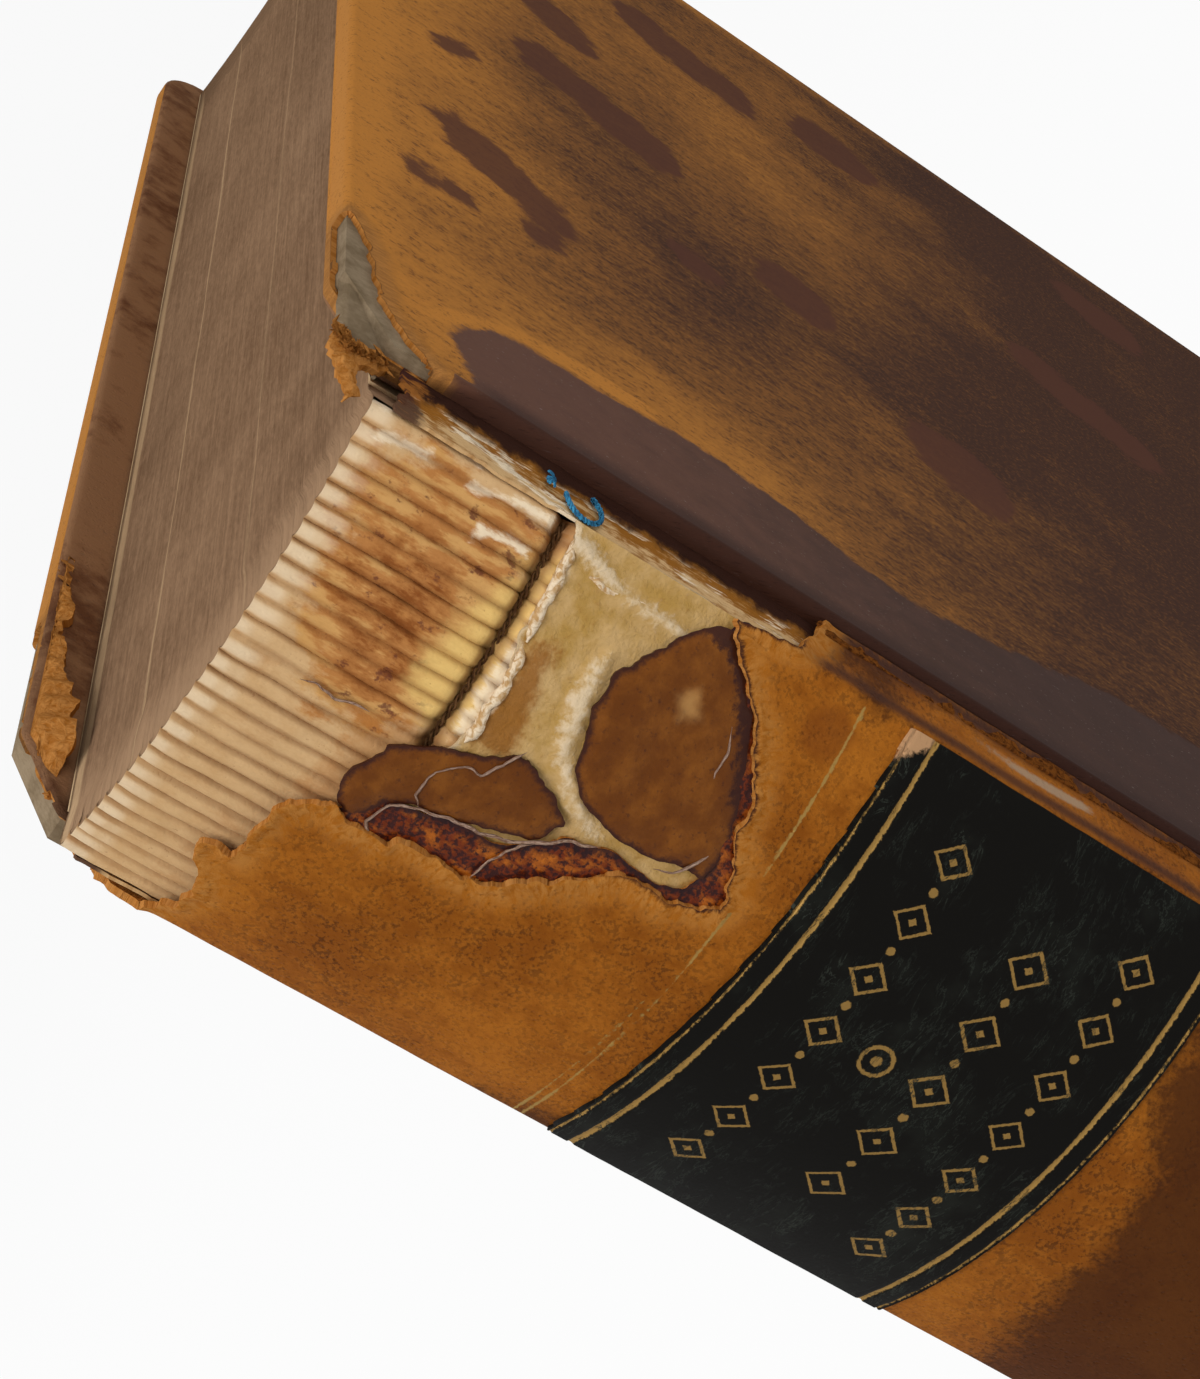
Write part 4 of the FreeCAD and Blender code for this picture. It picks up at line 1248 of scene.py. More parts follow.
@dataclass
class TextBlock:
    """The sewn leaves, with a rounded spine of folds, dusty edges and a hollow fore-edge."""

    columns: int = 8
    fold_depth: float = 0.33
    kettle: float = 13.0
    kettle_width: float = 0.85
    kettle_depth: float = 0.85
    fore_radius: float = 30.8

    def build(self, folds: Finish, edges: Finish) -> Piece:
        """Make the text block.

        Args:
            folds: Finish of the spine.
            edges: Finish of the cut edges.

        Returns:
            The piece.
        """
        form = Form("folded_leaves")
        share = np.linspace(-1, 1, FOLDS * self.columns + 1)
        heights = stations(TEXT_FOOT, (14.0, 5.0), (200.0, 18.6), (206.0, 1.5), (TEXT_HEAD, 0.36))
        inward = np.concatenate([[0.0], stations(0.25, (6.0, 0.6), (20.0, 1.6), (155.0, 6.0))])
        inward = inward / inward[-1]
        spine, fore = self._spine(share, heights), self._fore(share, heights)
        form.grid(spine, finish=0, **self._spine_measures(share, heights))
        y, z = np.meshgrid(-share * TEXT_SIDE, heights, indexing="ij")
        form.grid(fore, finish=1, turned=True, lay=laid(z, y))
        for row in (0, -1):
            line = spine[row][None] + (fore[row] - spine[row])[None] * inward[:, None, None]
            self._shape_side(line, share[row])
            form.grid(line, finish=1, turned=row == 0, lay=line[..., [2, 1, 0]])
        for column in (0, -1):
            start = spine[:, column]
            face = start[None] + (fore[:, column] - start)[None] * inward[:, None, None]
            self._shape_side(face, share)
            leaf = np.broadcast_to(share * TEXT_SIDE, face.shape[:2])
            face[..., 2] += self._ripple(face, leaf, inward) * (1 if column else -1)
            lay = laid(face[..., 0], leaf, face[..., 2])
            wander = 0.12 * Grain(19).at(face[..., 0], 0 * leaf, 20.0)
            pale = smooth(0.42 - np.abs(leaf + 15.75 + wander * 0.5), -0.12, 0.12) * 0.8 \
                + smooth(0.11 - np.abs(leaf + 7.9 - wander), -0.05, 0.1) * 0.7 \
                + smooth(0.10 - np.abs(leaf - 3.1 + wander), -0.05, 0.1) * 0.35
            near = smooth(9.0 - (face[..., 0] - spine[:, column][None, :, 0]), 0.0, 9.0)
            form.grid(face, finish=1, turned=bool(column), lay=lay, pale=pale, light=near)
        made = form.weld().piece([folds, edges], TEXT, sharp=60)
        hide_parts("text_block")
        return made

    def _spine_measures(self, share: Array, heights: Array) -> dict[str, Array]:
        """The measures that the finish of the folds reads.

        Args:
            share: Place across the block, from -1 at the back to 1 at the front.
            heights: Heights of the rows.

        Returns:
            The measures by name.
        """
        u, drop = np.meshgrid(share * HALF_ARC, TEXT_HEAD - heights, indexing="ij")
        fold = np.minimum((share + 1) / 2 * FOLDS, FOLDS - 0.001)[:, None]
        grain = Grain(5)
        deep = np.abs(fold % 1 - 0.5) * 2
        # Painted shade: groove is 1 in the recess between folds, and the kettle groove is added to it.
        groove = smooth(deep, 0.42, 1.05) * (0.65 + 0.35 * grain.at(u, drop, 3))
        kettle = smooth(self.kettle_width / 2 - np.abs(drop - self.kettle), -0.3, 0.1)
        # Painted highlight on the crest of each fold, within about 2 mm of the head.
        crest = smooth(2.2 - drop + 0.8 * grain.at(np.floor(fold) * 5.1, drop, 1.0), 0, 1.4)
        return {"lay": laid(u, drop), "groove": np.maximum(groove, kettle),
                "crest": crest * smooth(0.8 - deep, 0, 0.4),
                "streak": grain.layered(np.floor(fold) * 7.7 + 0 * drop, drop, 3.0),
                "stain": GLUE_STAIN.inside(u, drop), "core": STAIN_CORE.inside(u, drop),
                "yellow": YELLOW_FOLDS.inside(u, drop), "lower": LOWER_FOLDS.inside(u, drop),
                "glue": nearest_inside(FOLD_GLUE, u, drop)}

    def _spine(self, share: Array, heights: Array) -> Array:
        """Points of the folds, cut by the kettle groove.

        Args:
            share: Place across the spine, from -1 at the back to 1 at the front.
            heights: Heights of the rows.

        Returns:
            The grid of points.
        """
        cell = (share + 1) / 2 * FOLDS
        fold = np.minimum(np.floor(cell), FOLDS - 1)
        t = np.abs(2 * (cell - fold) - 1)[:, None]
        own = np.random.default_rng(7).uniform(-1, 1, (FOLDS, 2))[fold.astype(int)]
        drop = (TEXT_HEAD - heights)[None]
        u = (share * HALF_ARC)[:, None] + 0 * drop
        grain = Grain(9)
        inner = 1 - t**6
        lift = -self.fold_depth * t**2.4 * (1 + 0.25 * own[:, :1]) + 0.06 * own[:, 1:] * inner
        lift = lift + 0.09 * grain.layered(u, drop, 2.2) * inner
        lift = lift - 0.22 * smooth(1.2 - drop, 0.0, 1.2) ** 2 * t**2
        away = np.abs(drop - self.kettle - 0.15 * grain.at(u, 0 * drop, 1.3))
        lift = lift - self.kettle_depth * smooth(self.kettle_width / 2 - away, -0.4, 0.35)
        cell_noise = grain.layered(u * 0.7 + 40, drop, 3.0) + grain.at(fold[:, None] * 3.7, drop, 5.0)
        wobble = 0.10 * cell_noise * smooth(HALF_ARC - np.abs(u), 0.0, 1.0)
        return on_spine(u + wobble, heights[None] + 0 * u, np.minimum(lift, 0.02))

    def _fore(self, share: Array, heights: Array) -> Array:
        """Points of the hollow fore-edge, with leaves that stand a little in and out.

        Args:
            share: Place across the block, from -1 at the back to 1 at the front.
            heights: Heights of the rows.

        Returns:
            The grid of points.
        """
        y = (-share * TEXT_SIDE)[:, None] + 0 * heights[None]
        z = heights[None] + 0 * y
        hollow = np.sqrt(self.fore_radius**2 - y**2) - math.sqrt(self.fore_radius**2 - TEXT_SIDE**2)
        uneven = 0.10 * Grain(13).layered(y, z * 0.05, 0.9) - 0.10
        return np.stack([TEXT_FORE - hollow + uneven * (np.abs(share[:, None]) < 0.999), y, z], -1)

    @staticmethod
    def _shape_side(points: Array, share: Array | float) -> None:
        """Narrow the block from its shoulders to its sides, in place.

        Args:
            points: Grid of points between the spine and the fore-edge.
            share: Where each column lies across the block, from -1 at the back to 1 at the front.
        """
        from_shoulder = points[..., 0] - SHOULDER_X
        half = SHOULDER_Y - (SHOULDER_Y - TEXT_SIDE) * np.clip(from_shoulder / 3.2, 0, 1)
        kept = np.where(np.abs(share) > 0.999, from_shoulder <= 0, 1 - smooth(from_shoulder, 0, 3.2))
        points[..., 1] = kept * points[..., 1] - (1 - kept) * share * half

    @staticmethod
    def _ripple(points: Array, leaf: Array, inward: Array) -> Array:
        """Small steps between the leaves on a cut edge, none along its outline.

        Args:
            points: Grid of points of the edge.
            leaf: Where each point lies across the block.
            inward: Share of the way from the spine to the fore-edge.

        Returns:
            How far each point is moved outward.
        """
        grain, x = Grain(17), points[..., 0]
        steps = 0.12 * grain.layered(leaf, x * 0.02, 0.8) + 0.05 * grain.at(leaf, x * 0.05, 0.25)
        soft = smooth(inward, 0.0, 0.004)[:, None] * smooth(1 - inward, 0.0, 0.004)[:, None]
        return (steps - 0.14) * soft * (np.abs(leaf) < TEXT_SIDE - 0.01)


@dataclass
class SpineWraps:
    """Everything pasted round the spine: lining, torn leather with its under layers, and label."""

    fine: float = 0.21
    skin: float = 0.5
    label_top: float = 36.0
    label_foot: float = 62.0
    label_skew: float = 0.055
    foot_depth: float = 233.3
    fillets: Points = ((33.6, 6.0, 17.4), (33.3, -19.6, 3.4), (32.7, -19.6, -4.0), (65.4, -20.0, 20.0))

    def build(self, flesh: Finish) -> list[Piece]:
        """Make the lining, the scraps, the leather and the label, from the inside out."""
        return [self._lining(), *self._scraps(flesh), self._leather(flesh), self._label()]

    def _sheet(self, name: str, patch: Patch, across: Array, down: Array,
               lift: Callable[[Array, Array, Array], Array], thick: float,
               finishes: Sequence[Finish], **notes: Note) -> Piece:
        """A torn sheet round the spine.

        Args:
            name: Name of the piece.
            patch: Its outline.
            across: Places of its columns round the spine.
            down: Depths of its rows below the head.
            lift: Height of its outer face, from both coordinates and the distance to its edge.
            thick: Its thickness.
            finishes: Grain side and flesh side.
            notes: Further measures, each from both coordinates.

        Returns:
            The piece.
        """
        u, drop = np.meshgrid(across, down, indexing="ij")
        u, drop, keep = fit_edge(u, drop, patch.inside, self.fine)
        torn, (_, along) = patch.inside(u, drop), patch.nearest(u, drop)
        outer = on_spine(u, TEXT_HEAD - drop, lift(u, drop, torn))
        form = Form(name)
        form.grid(outer, keep, lay=laid(u, drop), torn=torn, fringe=laid(along, torn),
                  **{key: note(u, drop) for key, note in notes.items()})
        form.thicken(thick)
        return form.piece(finishes, TEXT)

    def _lining(self) -> Piece:
        """The paper lining, over which the folds show faintly.

        Returns:
            The piece.
        """
        grain = Grain(33)
        pitch = 2 * HALF_ARC / FOLDS

        def lift(u: Array, drop: Array, torn: Array) -> Array:
            """Height of the lining over the folds.

            Args:
                u: Place round the spine.
                drop: Depth below the head.
                torn: Distance to the torn edge.

            Returns:
                The height of each point.
            """
            ribs = 0.07 * np.cos(u / pitch * 2 * np.pi)
            lumps = 0.14 * np.clip(grain.layered(u, drop, 2.6), 0, 1)
            ridge = 0.30 * smooth(nearest_inside(LINING_GLUE, u, drop), -0.5, 0.4)
            return LINING_LIFT + ribs + lumps + ridge * smooth(24 - drop, 0, 2)

        made = self._sheet(
            "spine_lining_paper", LINING_TEAR, stations(-HALF_ARC, (2.0, 1.0), (HALF_ARC, self.fine)),
            stations(8.0, (34.0, self.fine), (228.4, 10.0)), lift, 0.25,
            [GluedLining().make(), PlainPaper("torn_lining").make(False)],
            glue=lambda u, drop: nearest_inside(LINING_GLUE, u, drop),
            soaked=lambda u, drop: nearest_inside(LINING_SOAKED, u, drop))
        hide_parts("spine_lining")
        return made

    def _scraps(self, flesh: Finish) -> list[Piece]:
        """The two hardened scraps and the dark red layer under the torn edge.

        Args:
            flesh: Finish of the flesh side.

        Returns:
            The pieces.
        """
        grain, hard, made = Grain(47), HardScrap().make(), []
        for name, node, patch, high in (
                ("upper_hard_scrap", "upper_leather_scrap", UPPER_SCRAP, 0.74),
                ("lower_hard_scrap", "lower_leather_scrap", LOWER_SCRAP, 0.70)):

            def lift(u: Array, drop: Array, torn: Array) -> Array:
                """Height of a scrap, swollen in its middle."""
                return high + 0.16 * smooth(torn, 0.0, 1.0) + 0.10 * grain.layered(u, drop, 2.2)

            box = np.array(patch.corners)
            (a0, b0), (a1, b1) = box.min(0) - 0.6, box.max(0) + 0.6
            made.append(self._sheet(name, patch, stations(a0, (a1, 0.2)), stations(b0, (b1, 0.2)),
                                    lift, 0.3, [hard, hard], spot=SCRAP_GLINT.inside,
                                    burnt=SCRAP_EDGE_SHADE.inside))
            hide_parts(node)

        def lift_red(u: Array, drop: Array, torn: Array) -> Array:
            """Height of the dark red layer, lumpy with glue."""
            return 0.60 + 0.20 * grain.layered(u, drop, 1.1) + 0.1 * smooth(torn, 0, 0.5)

        made.append(self._sheet("dark_red_layer", UNDER_TEAR, stations(-6.0, (19.0, 0.22)),
                                stations(9.0, (34.8, 0.22)), lift_red, 0.25,
                                [RedUnder().make(), flesh]))
        for piece in made:
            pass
        return made

    def _leather(self, flesh: Finish) -> Piece:
        """The spine leather, with its cap turned in over the tail.

        Args:
            flesh: Finish of the flesh side.

        Returns:
            The piece.
        """
        grain = Grain(51)
        reach = HALF_ARC + 4.15

        def gold(u: Array, drop: Array) -> Array:
            """Depth inside the broken gilt lines.

            Args:
                u: Place round the spine.
                drop: Depth below the head.

            Returns:
                The depth inside.
            """
            lines = [np.minimum(0.12 - np.abs(drop - depth - 0.012 * u), np.minimum(u - left, right - u))
                     for depth, left, right in self.fillets]
            return np.max(lines, axis=0) + 0.07 * grain.layered(u, drop, 2.5) - 0.01

        def lift(u: Array, drop: Array, torn: Array) -> Array:
            """Height of the leather, curled at the tear and rounded over the tail.

            Args:
                u: Place round the spine.
                drop: Depth below the head.
                torn: Distance to the torn edge.

            Returns:
                The height of each point.
            """
            curl = 0.30 * smooth(1.4 - torn, 0, 1.4) ** 2 * (1 + grain.layered(u, drop, 1.3))
            waves = 0.05 * grain.layered(u, drop, 5.0)
            worn = 0.12 * smooth(np.abs(u) - 18.6, 0, 1.0) * (1 + grain.layered(u * 0.3, drop, 2.0))
            cap = smooth(drop - self.foot_depth + 1.3, 0, 1.3) ** 2 * 2.4
            over = cap * smooth(HALF_ARC - np.abs(u), 0.3, 3.0)
            return np.minimum(LEATHER_LIFT + curl + waves - worn, 1.14) - over

        def crease(u: Array, drop: Array) -> Array:
            """Painted shade: how dark the leather is painted towards the joint, where it runs into the
            crease.

            Args:
                u: Place round the spine.
                drop: Depth below the head.

            Returns:
                The painted shade, from 0 to 1.
            """
            wander = 0.4 * grain.at(drop, 0 * drop, 4.0)
            dark = smooth(np.abs(u) - 20.0 + wander, 0, 1.2)
            line = smooth(0.40 - np.abs(np.abs(u) - 18.4 + wander * 0.5), -0.3, 0.3) * 0.85
            return np.maximum(dark, line) * smooth(drop, 24, 30)

        def rubbed(u: Array, drop: Array) -> Array:
            """Where the leather is rubbed to a pale line beside the joint.

            Args:
                u: Place round the spine.
                drop: Depth below the head.

            Returns:
                The paleness, from 0 to 1.
            """
            wander = 0.5 * grain.at(drop + 9, 0 * drop, 5.0)
            line = smooth(0.5 - np.abs(np.abs(u) - 19.7 + wander), -0.2, 0.5)
            return line * smooth(grain.at(drop, 0 * drop + 5, 6.0), -0.5, 0.3) * smooth(drop, 38, 48)

        made = self._sheet(
            "torn_spine_leather", SPINE_TEAR, stations(-reach, (reach, self.fine)),
            stations(2.0, (34.6, self.fine), (60.0, 2.2), (225.0, 4.2), (231.4, 0.8), (233.25, 0.18)),
            lift, self.skin, [SpineSkin().make(), flesh], gold=gold, crease=crease, rubbed=rubbed,
            stain=lambda u, drop: nearest_inside(SPINE_STAINS, u, drop), ring=DARK_RING.inside,
            scorched=lambda u, drop: smooth(TEAR_SHADOW_AREA.inside(u, drop), 0, 1.5))
        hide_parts("spine_leather")
        return made

    def _label(self) -> Piece:
        """The title label, a little askew, with a chipped top corner.

        Returns:
            The piece.
        """
        skew, reach = self.label_skew, HALF_ARC - 0.15
        top, foot = self.label_top, self.label_foot
        outline = Patch((
            (-reach, top - skew * reach), (reach, top + skew * reach),
            (reach, foot + skew * reach), (-reach, foot - skew * reach),
        ), ragged=0.05, wave=1.4, seed=61)
        chip = Patch(((reach - 2.4, top + 0.6), (reach + 1, top + 0.8), (reach + 1, top + 2.9),
                      (reach - 0.8, top + 2.6), (reach - 1.6, top + 1.5)), ragged=0.2, wave=1.0)
        grain = Grain(63)

        def gold(u: Array, drop: Array) -> Array:
            """Depth inside the gilt lines at both ends and on their edges.

            Args:
                u: Place round the spine.
                drop: Depth below the head.

            Returns:
                The depth inside.
            """
            level = drop - skew * u
            inner = [0.19 - np.abs(level - depth) for depth in (top + 1.75, foot - 1.6)]
            rim = [0.09 - np.abs(level - depth) for depth in (top + 0.22, foot - 0.22)]
            return np.max(inner + rim, axis=0) + 0.04 * grain.layered(u, drop, 3.0)

        def lift(u: Array, drop: Array, torn: Array) -> Array:
            """Height of the label, pressed in along the gilt lines."""
            return LABEL_LIFT - 0.10 * smooth(gold(u, drop), -0.05, 0.05) \
                + 0.03 * grain.layered(u, drop, 4.0)

        skin = LabelSkin().make()
        made = self._sheet(
            "black_title_label", outline, stations(-reach - 0.3, (reach + 0.3, 0.36)),
            stations(34.3, (39.6, 0.14), (58.4, 1.2), (63.6, 0.14)), lift, 0.3, [skin, skin],
            gold=gold, chip=chip.inside)
        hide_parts("title_label")
        return made


@dataclass
class Threads:
    """Kettle stitch, runs of dried glue, and what is left of the blue silk."""

    kettle_drop: float = 13.0
    strand: float = 0.085

    def build(self) -> list[Piece]:
        """Make the three pieces.

        Returns:
            The pieces.
        """
        linen = Thread("linen_thread", (0.15, 0.075, 0.030), (0.06, 0.024, 0.009)).make(False)
        glue = Thread("dried_glue", (0.76, 0.62, 0.44), (0.46, 0.27, 0.11), 0.5).make(False)
        blue = Thread("faded_blue_silk", (0.050, 0.270, 0.460), (0.020, 0.085, 0.170), 0.6).make(False)
        film = Thread("dried_glue_film", (0.40, 0.27, 0.20), (0.17, 0.085, 0.050), 0.4).make(False)
        return [self._kettle(linen), self._glue(glue, film), self._silk(blue)]

    def _kettle(self, linen: Finish) -> Piece:
        """Two strands that wind round each other, one turn in every fold.

        Args:
            linen: Its finish.

        Returns:
            The piece.
        """
        form = Form("linked_kettle_stitch")
        u = np.linspace(-HALF_ARC + 0.3, HALF_ARC - 0.3, FOLDS * 10)
        phase = u / (2 * HALF_ARC / FOLDS) * 2 * np.pi
        uneven = Grain(101).layered(u, 0 * u, 2.0)
        for start in (0.0, np.pi):
            drop = self.kettle_drop + 0.12 * np.cos(phase + start) + 0.12 * uneven
            lift = -0.72 + 0.10 * np.sin(phase + start) + 0.05 * uneven
            form.tube(on_spine(u, TEXT_HEAD - drop, lift), self.strand, 6)
        made = form.weld().piece([linen], TEXT)
        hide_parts("head_kettle_stitch")
        return made

    @staticmethod
    def _glue(glue: Finish, film: Finish) -> Piece:
        """Lumps of whitish glue on the lining, thin threads of it on the scraps and on the folds.

        Args:
            glue: Finish of the lumps.
            film: Finish of the thin threads.

        Returns:
            The piece.
        """
        lump_radius, folds_end = 0.2, 12.0
        on_lining, on_scraps, on_folds = 0.28, 0.86, 0.02
        form, grain = Form("dried_glue_runs"), Grain(103)
        for number, (radius, line) in enumerate(GLUE_RUNS):
            corners = np.array(line)
            far = distances(corners)
            steps = np.linspace(0, far[-1], max(12, int(far[-1] / 0.18)))
            u, drop = (np.interp(steps, far, corners[:, k]) for k in (0, 1))
            u = u + 0.18 * grain.layered(steps + 31 * number, 0 * steps, 0.9)
            drop = drop + 0.15 * grain.layered(steps + 57 * number, 0 * steps, 0.8)
            swell = 1 + 0.7 * grain.layered(steps + 11 * number, 0 * steps + 4, 0.9)
            ends = smooth(np.minimum(steps, steps[-1] - steps), 0, 0.8) * 0.8 + 0.2
            lump = radius > lump_radius
            base = on_folds if drop.mean() < folds_end else on_lining if lump else on_scraps
            form.tube(on_spine(u, TEXT_HEAD - drop, base), radius * swell * ends, 7, int(not lump))
        made = form.weld().piece([glue, film], TEXT, sharp=80)
        return made

    @staticmethod
    def _silk(blue: Finish) -> Piece:
        """A loop of blue silk at the front shoulder and a tuft beside it.

        Args:
            blue: Its finish.

        Returns:
            The piece.
        """
        form = Form("blue_silk_loop")
        loop = np.array([(19.4, 12.3), (18.5, 12.8), (18.1, 13.7), (18.3, 14.5), (19.0, 14.9),
                         (19.8, 14.7), (20.3, 14.0)])
        far = np.linspace(0, 1, 40)
        u, drop = (np.interp(far, np.linspace(0, 1, len(loop)), loop[:, k]) for k in (0, 1))
        for _ in range(8):
            u[1:-1], drop[1:-1] = (u[:-2] + u[2:]) / 2, (drop[:-2] + drop[2:]) / 2
        wind = far * 60
        for start in (0.0, np.pi):
            form.tube(on_spine(u + 0.09 * np.cos(wind + start), TEXT_HEAD - drop,
                               0.45 + 0.09 * np.sin(wind + start)), 0.14, 6)
        rng = np.random.default_rng(107)
        for _ in range(9):
            a, b = rng.uniform(-0.22, 0.22, 2)
            run = np.linspace(0, 1, 6)
            u, drop = 19.9 + a + run * rng.uniform(-0.5, 0.5), 11.2 + b + run * rng.uniform(-0.5, 0.5)
            form.tube(on_spine(u, TEXT_HEAD - drop, 0.4 + 0.3 * np.sin(run * 3)), 0.09, 5)
        made = form.weld().piece([blue], TEXT)
        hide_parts("head_band_tie_down")
        return made


@dataclass
class TornFibres:
    """Short tapered fibres that stand out of torn leather along a path."""

    name: str
    path: Points
    out: tuple[float, float, float]
    up: tuple[float, float, float]
    count: int
    length: float
    spread: float = 0.35
    thick: float = 0.09
    seed: int = 1

    def build(self, finish: Finish, body: str) -> Piece:
        """Make the fibres.

        Args:
            finish: Their material.
            body: The body that they ride on.

        Returns:
            The piece.
        """
        form, rng = Form(self.name), np.random.default_rng(self.seed)
        path = np.array(self.path, float)
        far = distances(path)
        out, up = np.array(self.out), np.array(self.up)
        along = path[-1] - path[0]
        along /= np.linalg.norm(along)
        run = np.linspace(0, 1, 6)
        for place in rng.uniform(0, far[-1], self.count):
            root = np.array([np.interp(place, far, path[:, k]) for k in range(3)])
            root = root + out * rng.normal(0, self.spread * 0.4) + up * rng.normal(0, self.spread * 0.3)
            lean, rise = rng.normal(0, 0.5), rng.uniform(-0.2, 0.9)
            reach = self.length * rng.uniform(0.35, 1.0)
            curve = root[None] + reach * (run[:, None] * (out * (1 - 0.4 * rise) + along * lean)[None]
                                          + (run**2)[:, None] * (up * rise)[None])
            curve[:, 2] = np.minimum(curve[:, 2], BOOK_HEIGHT - 0.2)
            form.tube(curve, self.thick * rng.uniform(0.7, 1.5) * (1 - run * 0.9), 4)
        made = form.weld().piece([finish], body, sharp=80)
        return made


@dataclass
class Cover:
    """One board's leather: face, rounded edges and turn-ins, worn through at the head of the joint."""

    side: Side
    wear: Patch
    band: Patch
    blots: Points
    streak: Patch
    bare_from: float
    bare_to: float
    seed: int
    rounding: float = 0.7
    skin: float = 0.38
    turn_in: float = 14.0
    squeeze: float = 12.0
    fine: float = 0.22

    def build(self, grain_side: Finish, flesh: Finish) -> Piece:
        """Make the leather of this board.

        Args:
            grain_side: Finish of the face, edges and turn-ins.
            flesh: Finish of the torn edges and the back.

        Returns:
            The piece.
        """
        form = Form(self.side.word + "_board_leather")
        inset = self.rounding - 0.4
        along = stations(inset, (20.0, 0.24), (148.0, 1.3), (BOARD_WIDTH - inset, 0.6))
        down = stations(self.rounding, (9.0, 0.24), (110.0, 1.3), (226.0, 2.6),
                        (BOOK_HEIGHT - self.rounding, 0.6))
        a, drop = np.meshgrid(along, down, indexing="ij")
        drop = self._squeezed(a, drop)
        a, drop, keep = fit_edge(a, drop, lambda p, q: -self.wear.inside(p, q - COVER_OVER), self.fine)
        face = np.stack([a, drop, np.full(a.shape, SKIN_OUTER)], axis=-1)
        loop = np.concatenate([face[:, -1], face[-1, ::-1][1:], face[::-1, 0][1:], face[0, 1:]])
        rim = self._rim(loop)
        front = self.side is Side.FRONT
        form.grid(self._place(face), keep, turned=not front, **self._measures(face))
        form.grid(self._place(rim), self._kept(rim), turned=front, **self._measures(rim))
        form.weld().thicken(self.skin)
        for points in form.points:
            points[:, 1] = np.clip(points[:, 1], -SKIN_OUTER + 0.01, SKIN_OUTER - 0.01)
        made = form.piece([grain_side, flesh], self.side.body, sharp=55)
        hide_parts(self.side.word + "_cover_leather")
        return made

    def _squeezed(self, a: Array, drop: Array) -> Array:
        """Bring the rows in to the cut corners at the joint and the round ones at the fore-edge.

        Args:
            a: Distance from the edge at the joint.
            drop: Depth below the head.

        Returns:
            The depth of each point.
        """
        inset, round_in = self.rounding, 5.4 - self.rounding
        cut = np.maximum((CUT_RUN - a) * CUT_RISE / CUT_RUN + inset * 0.9, inset)
        past = np.clip(a - (BOARD_WIDTH - 5.0), 0, round_in)
        low = np.maximum(cut, inset + round_in - np.sqrt(round_in**2 - past**2))
        up = BOOK_HEIGHT - drop
        near_head, near_foot = (low + (depth - inset) * (self.squeeze - low) / (self.squeeze - inset)
                                for depth in (drop, up))
        return np.where(drop < self.squeeze, near_head,
                        np.where(up < self.squeeze, BOOK_HEIGHT - near_foot, drop))

    def _rim(self, loop: Array) -> Array:
        """The band from the edge of the face, round the board's edges, to the turned-in border.

        Args:
            loop: Points round the face, from the tail of the joint by the fore-edge and back.

        Returns:
            A grid of points, as distance along, drop from the head and level.
        """
        ring = loop[:-1, :2]
        run = np.roll(ring, -1, axis=0) - np.roll(ring, 1, axis=0)
        run = unit(run)
        for _ in range(3):
            run = (np.roll(run, 1, axis=0) + 2 * run + np.roll(run, -1, axis=0)) / 4
        outward = np.stack([run[:, 1], -run[:, 0]], axis=1)
        outward = np.concatenate([outward, outward[:1]])
        middle = loop[:, :2].mean(axis=0)
        outward *= 1 if ((loop[:, :2] - middle) * outward).sum() > 0 else -1
        outward /= np.linalg.norm(outward, axis=1, keepdims=True)
        small, low = self.rounding, 0.55
        profile = [(small * math.sin(t), SKIN_OUTER - small * (1 - math.cos(t)))
                   for t in np.linspace(0, math.pi / 2, 6)[1:]]
        profile += [(small, level) for level in (18.25, 18.0, 17.75, 17.5, 17.25)]
        profile += [(small - low * (1 - math.cos(t)), TURN_IN + low * (1 - math.sin(t)))
                    for t in np.linspace(0, math.pi / 2, 5)[1:]]
        rows = [loop]
        for out, level in profile:
            row = loop.copy()
            row[:, :2] += outward * out
            row[:, 2] = level
            rows.append(row)
        goal = np.stack([np.clip(loop[:, 0], 0.2, BOARD_WIDTH - self.turn_in),
                         np.clip(loop[:, 1], self.turn_in, BOARD_HEAD - self.turn_in)], axis=1)
        start = rows[-1]
        for share in (0.04, 0.10, 0.2, 0.35, 0.55, 0.78, 1.0):
            row = start.copy()
            row[:, :2] = start[:, :2] * (1 - share) + goal * share
            rows.append(row)
        return np.stack(rows)

    def _bare_level(self, a: Array) -> Array:
        """The level above which an edge is bare, inside the worn length."""
        share = np.clip(a / 18.0, 0, 1)
        return self.bare_from + (self.bare_to - self.bare_from) * share

    def _kept(self, grid: Array) -> Array:
        """Which quads of the rim are left where the leather is worn away.

        Args:
            grid: Points as distance along, drop from the head and level.

        Returns:
            Which quads are kept.
        """
        a, drop, level = grid[..., 0], grid[..., 1], grid[..., 2]
        ragged = 0.3 * Grain(self.seed).layered(a, level, 1.2)
        gone = np.minimum(self.wear.inside(a, drop - COVER_OVER), level - self._bare_level(a) - ragged)
        return (gone[:-1, :-1] + gone[1:, :-1] + gone[:-1, 1:] + gone[1:, 1:]) < 0

    def _place(self, grid: Array) -> Array:
        """Points in the row frame, with the faint cockle of old leather.

        Args:
            grid: Points as distance along, drop from the head and level.

        Returns:
            The points.
        """
        a, drop, level = grid[..., 0], grid[..., 1], grid[..., 2]
        grain = Grain(self.seed + 1)
        face = smooth(level, SKIN_OUTER - 0.02, SKIN_OUTER)
        soft = 0.03 * grain.layered(a, drop, 9.0) + 0.015 * grain.layered(a, drop, 1.6)
        level = level - (0.05 - soft) * face
        return laid(BOARD_EDGE_X + a, self.side.value * level, BOOK_HEIGHT - drop)

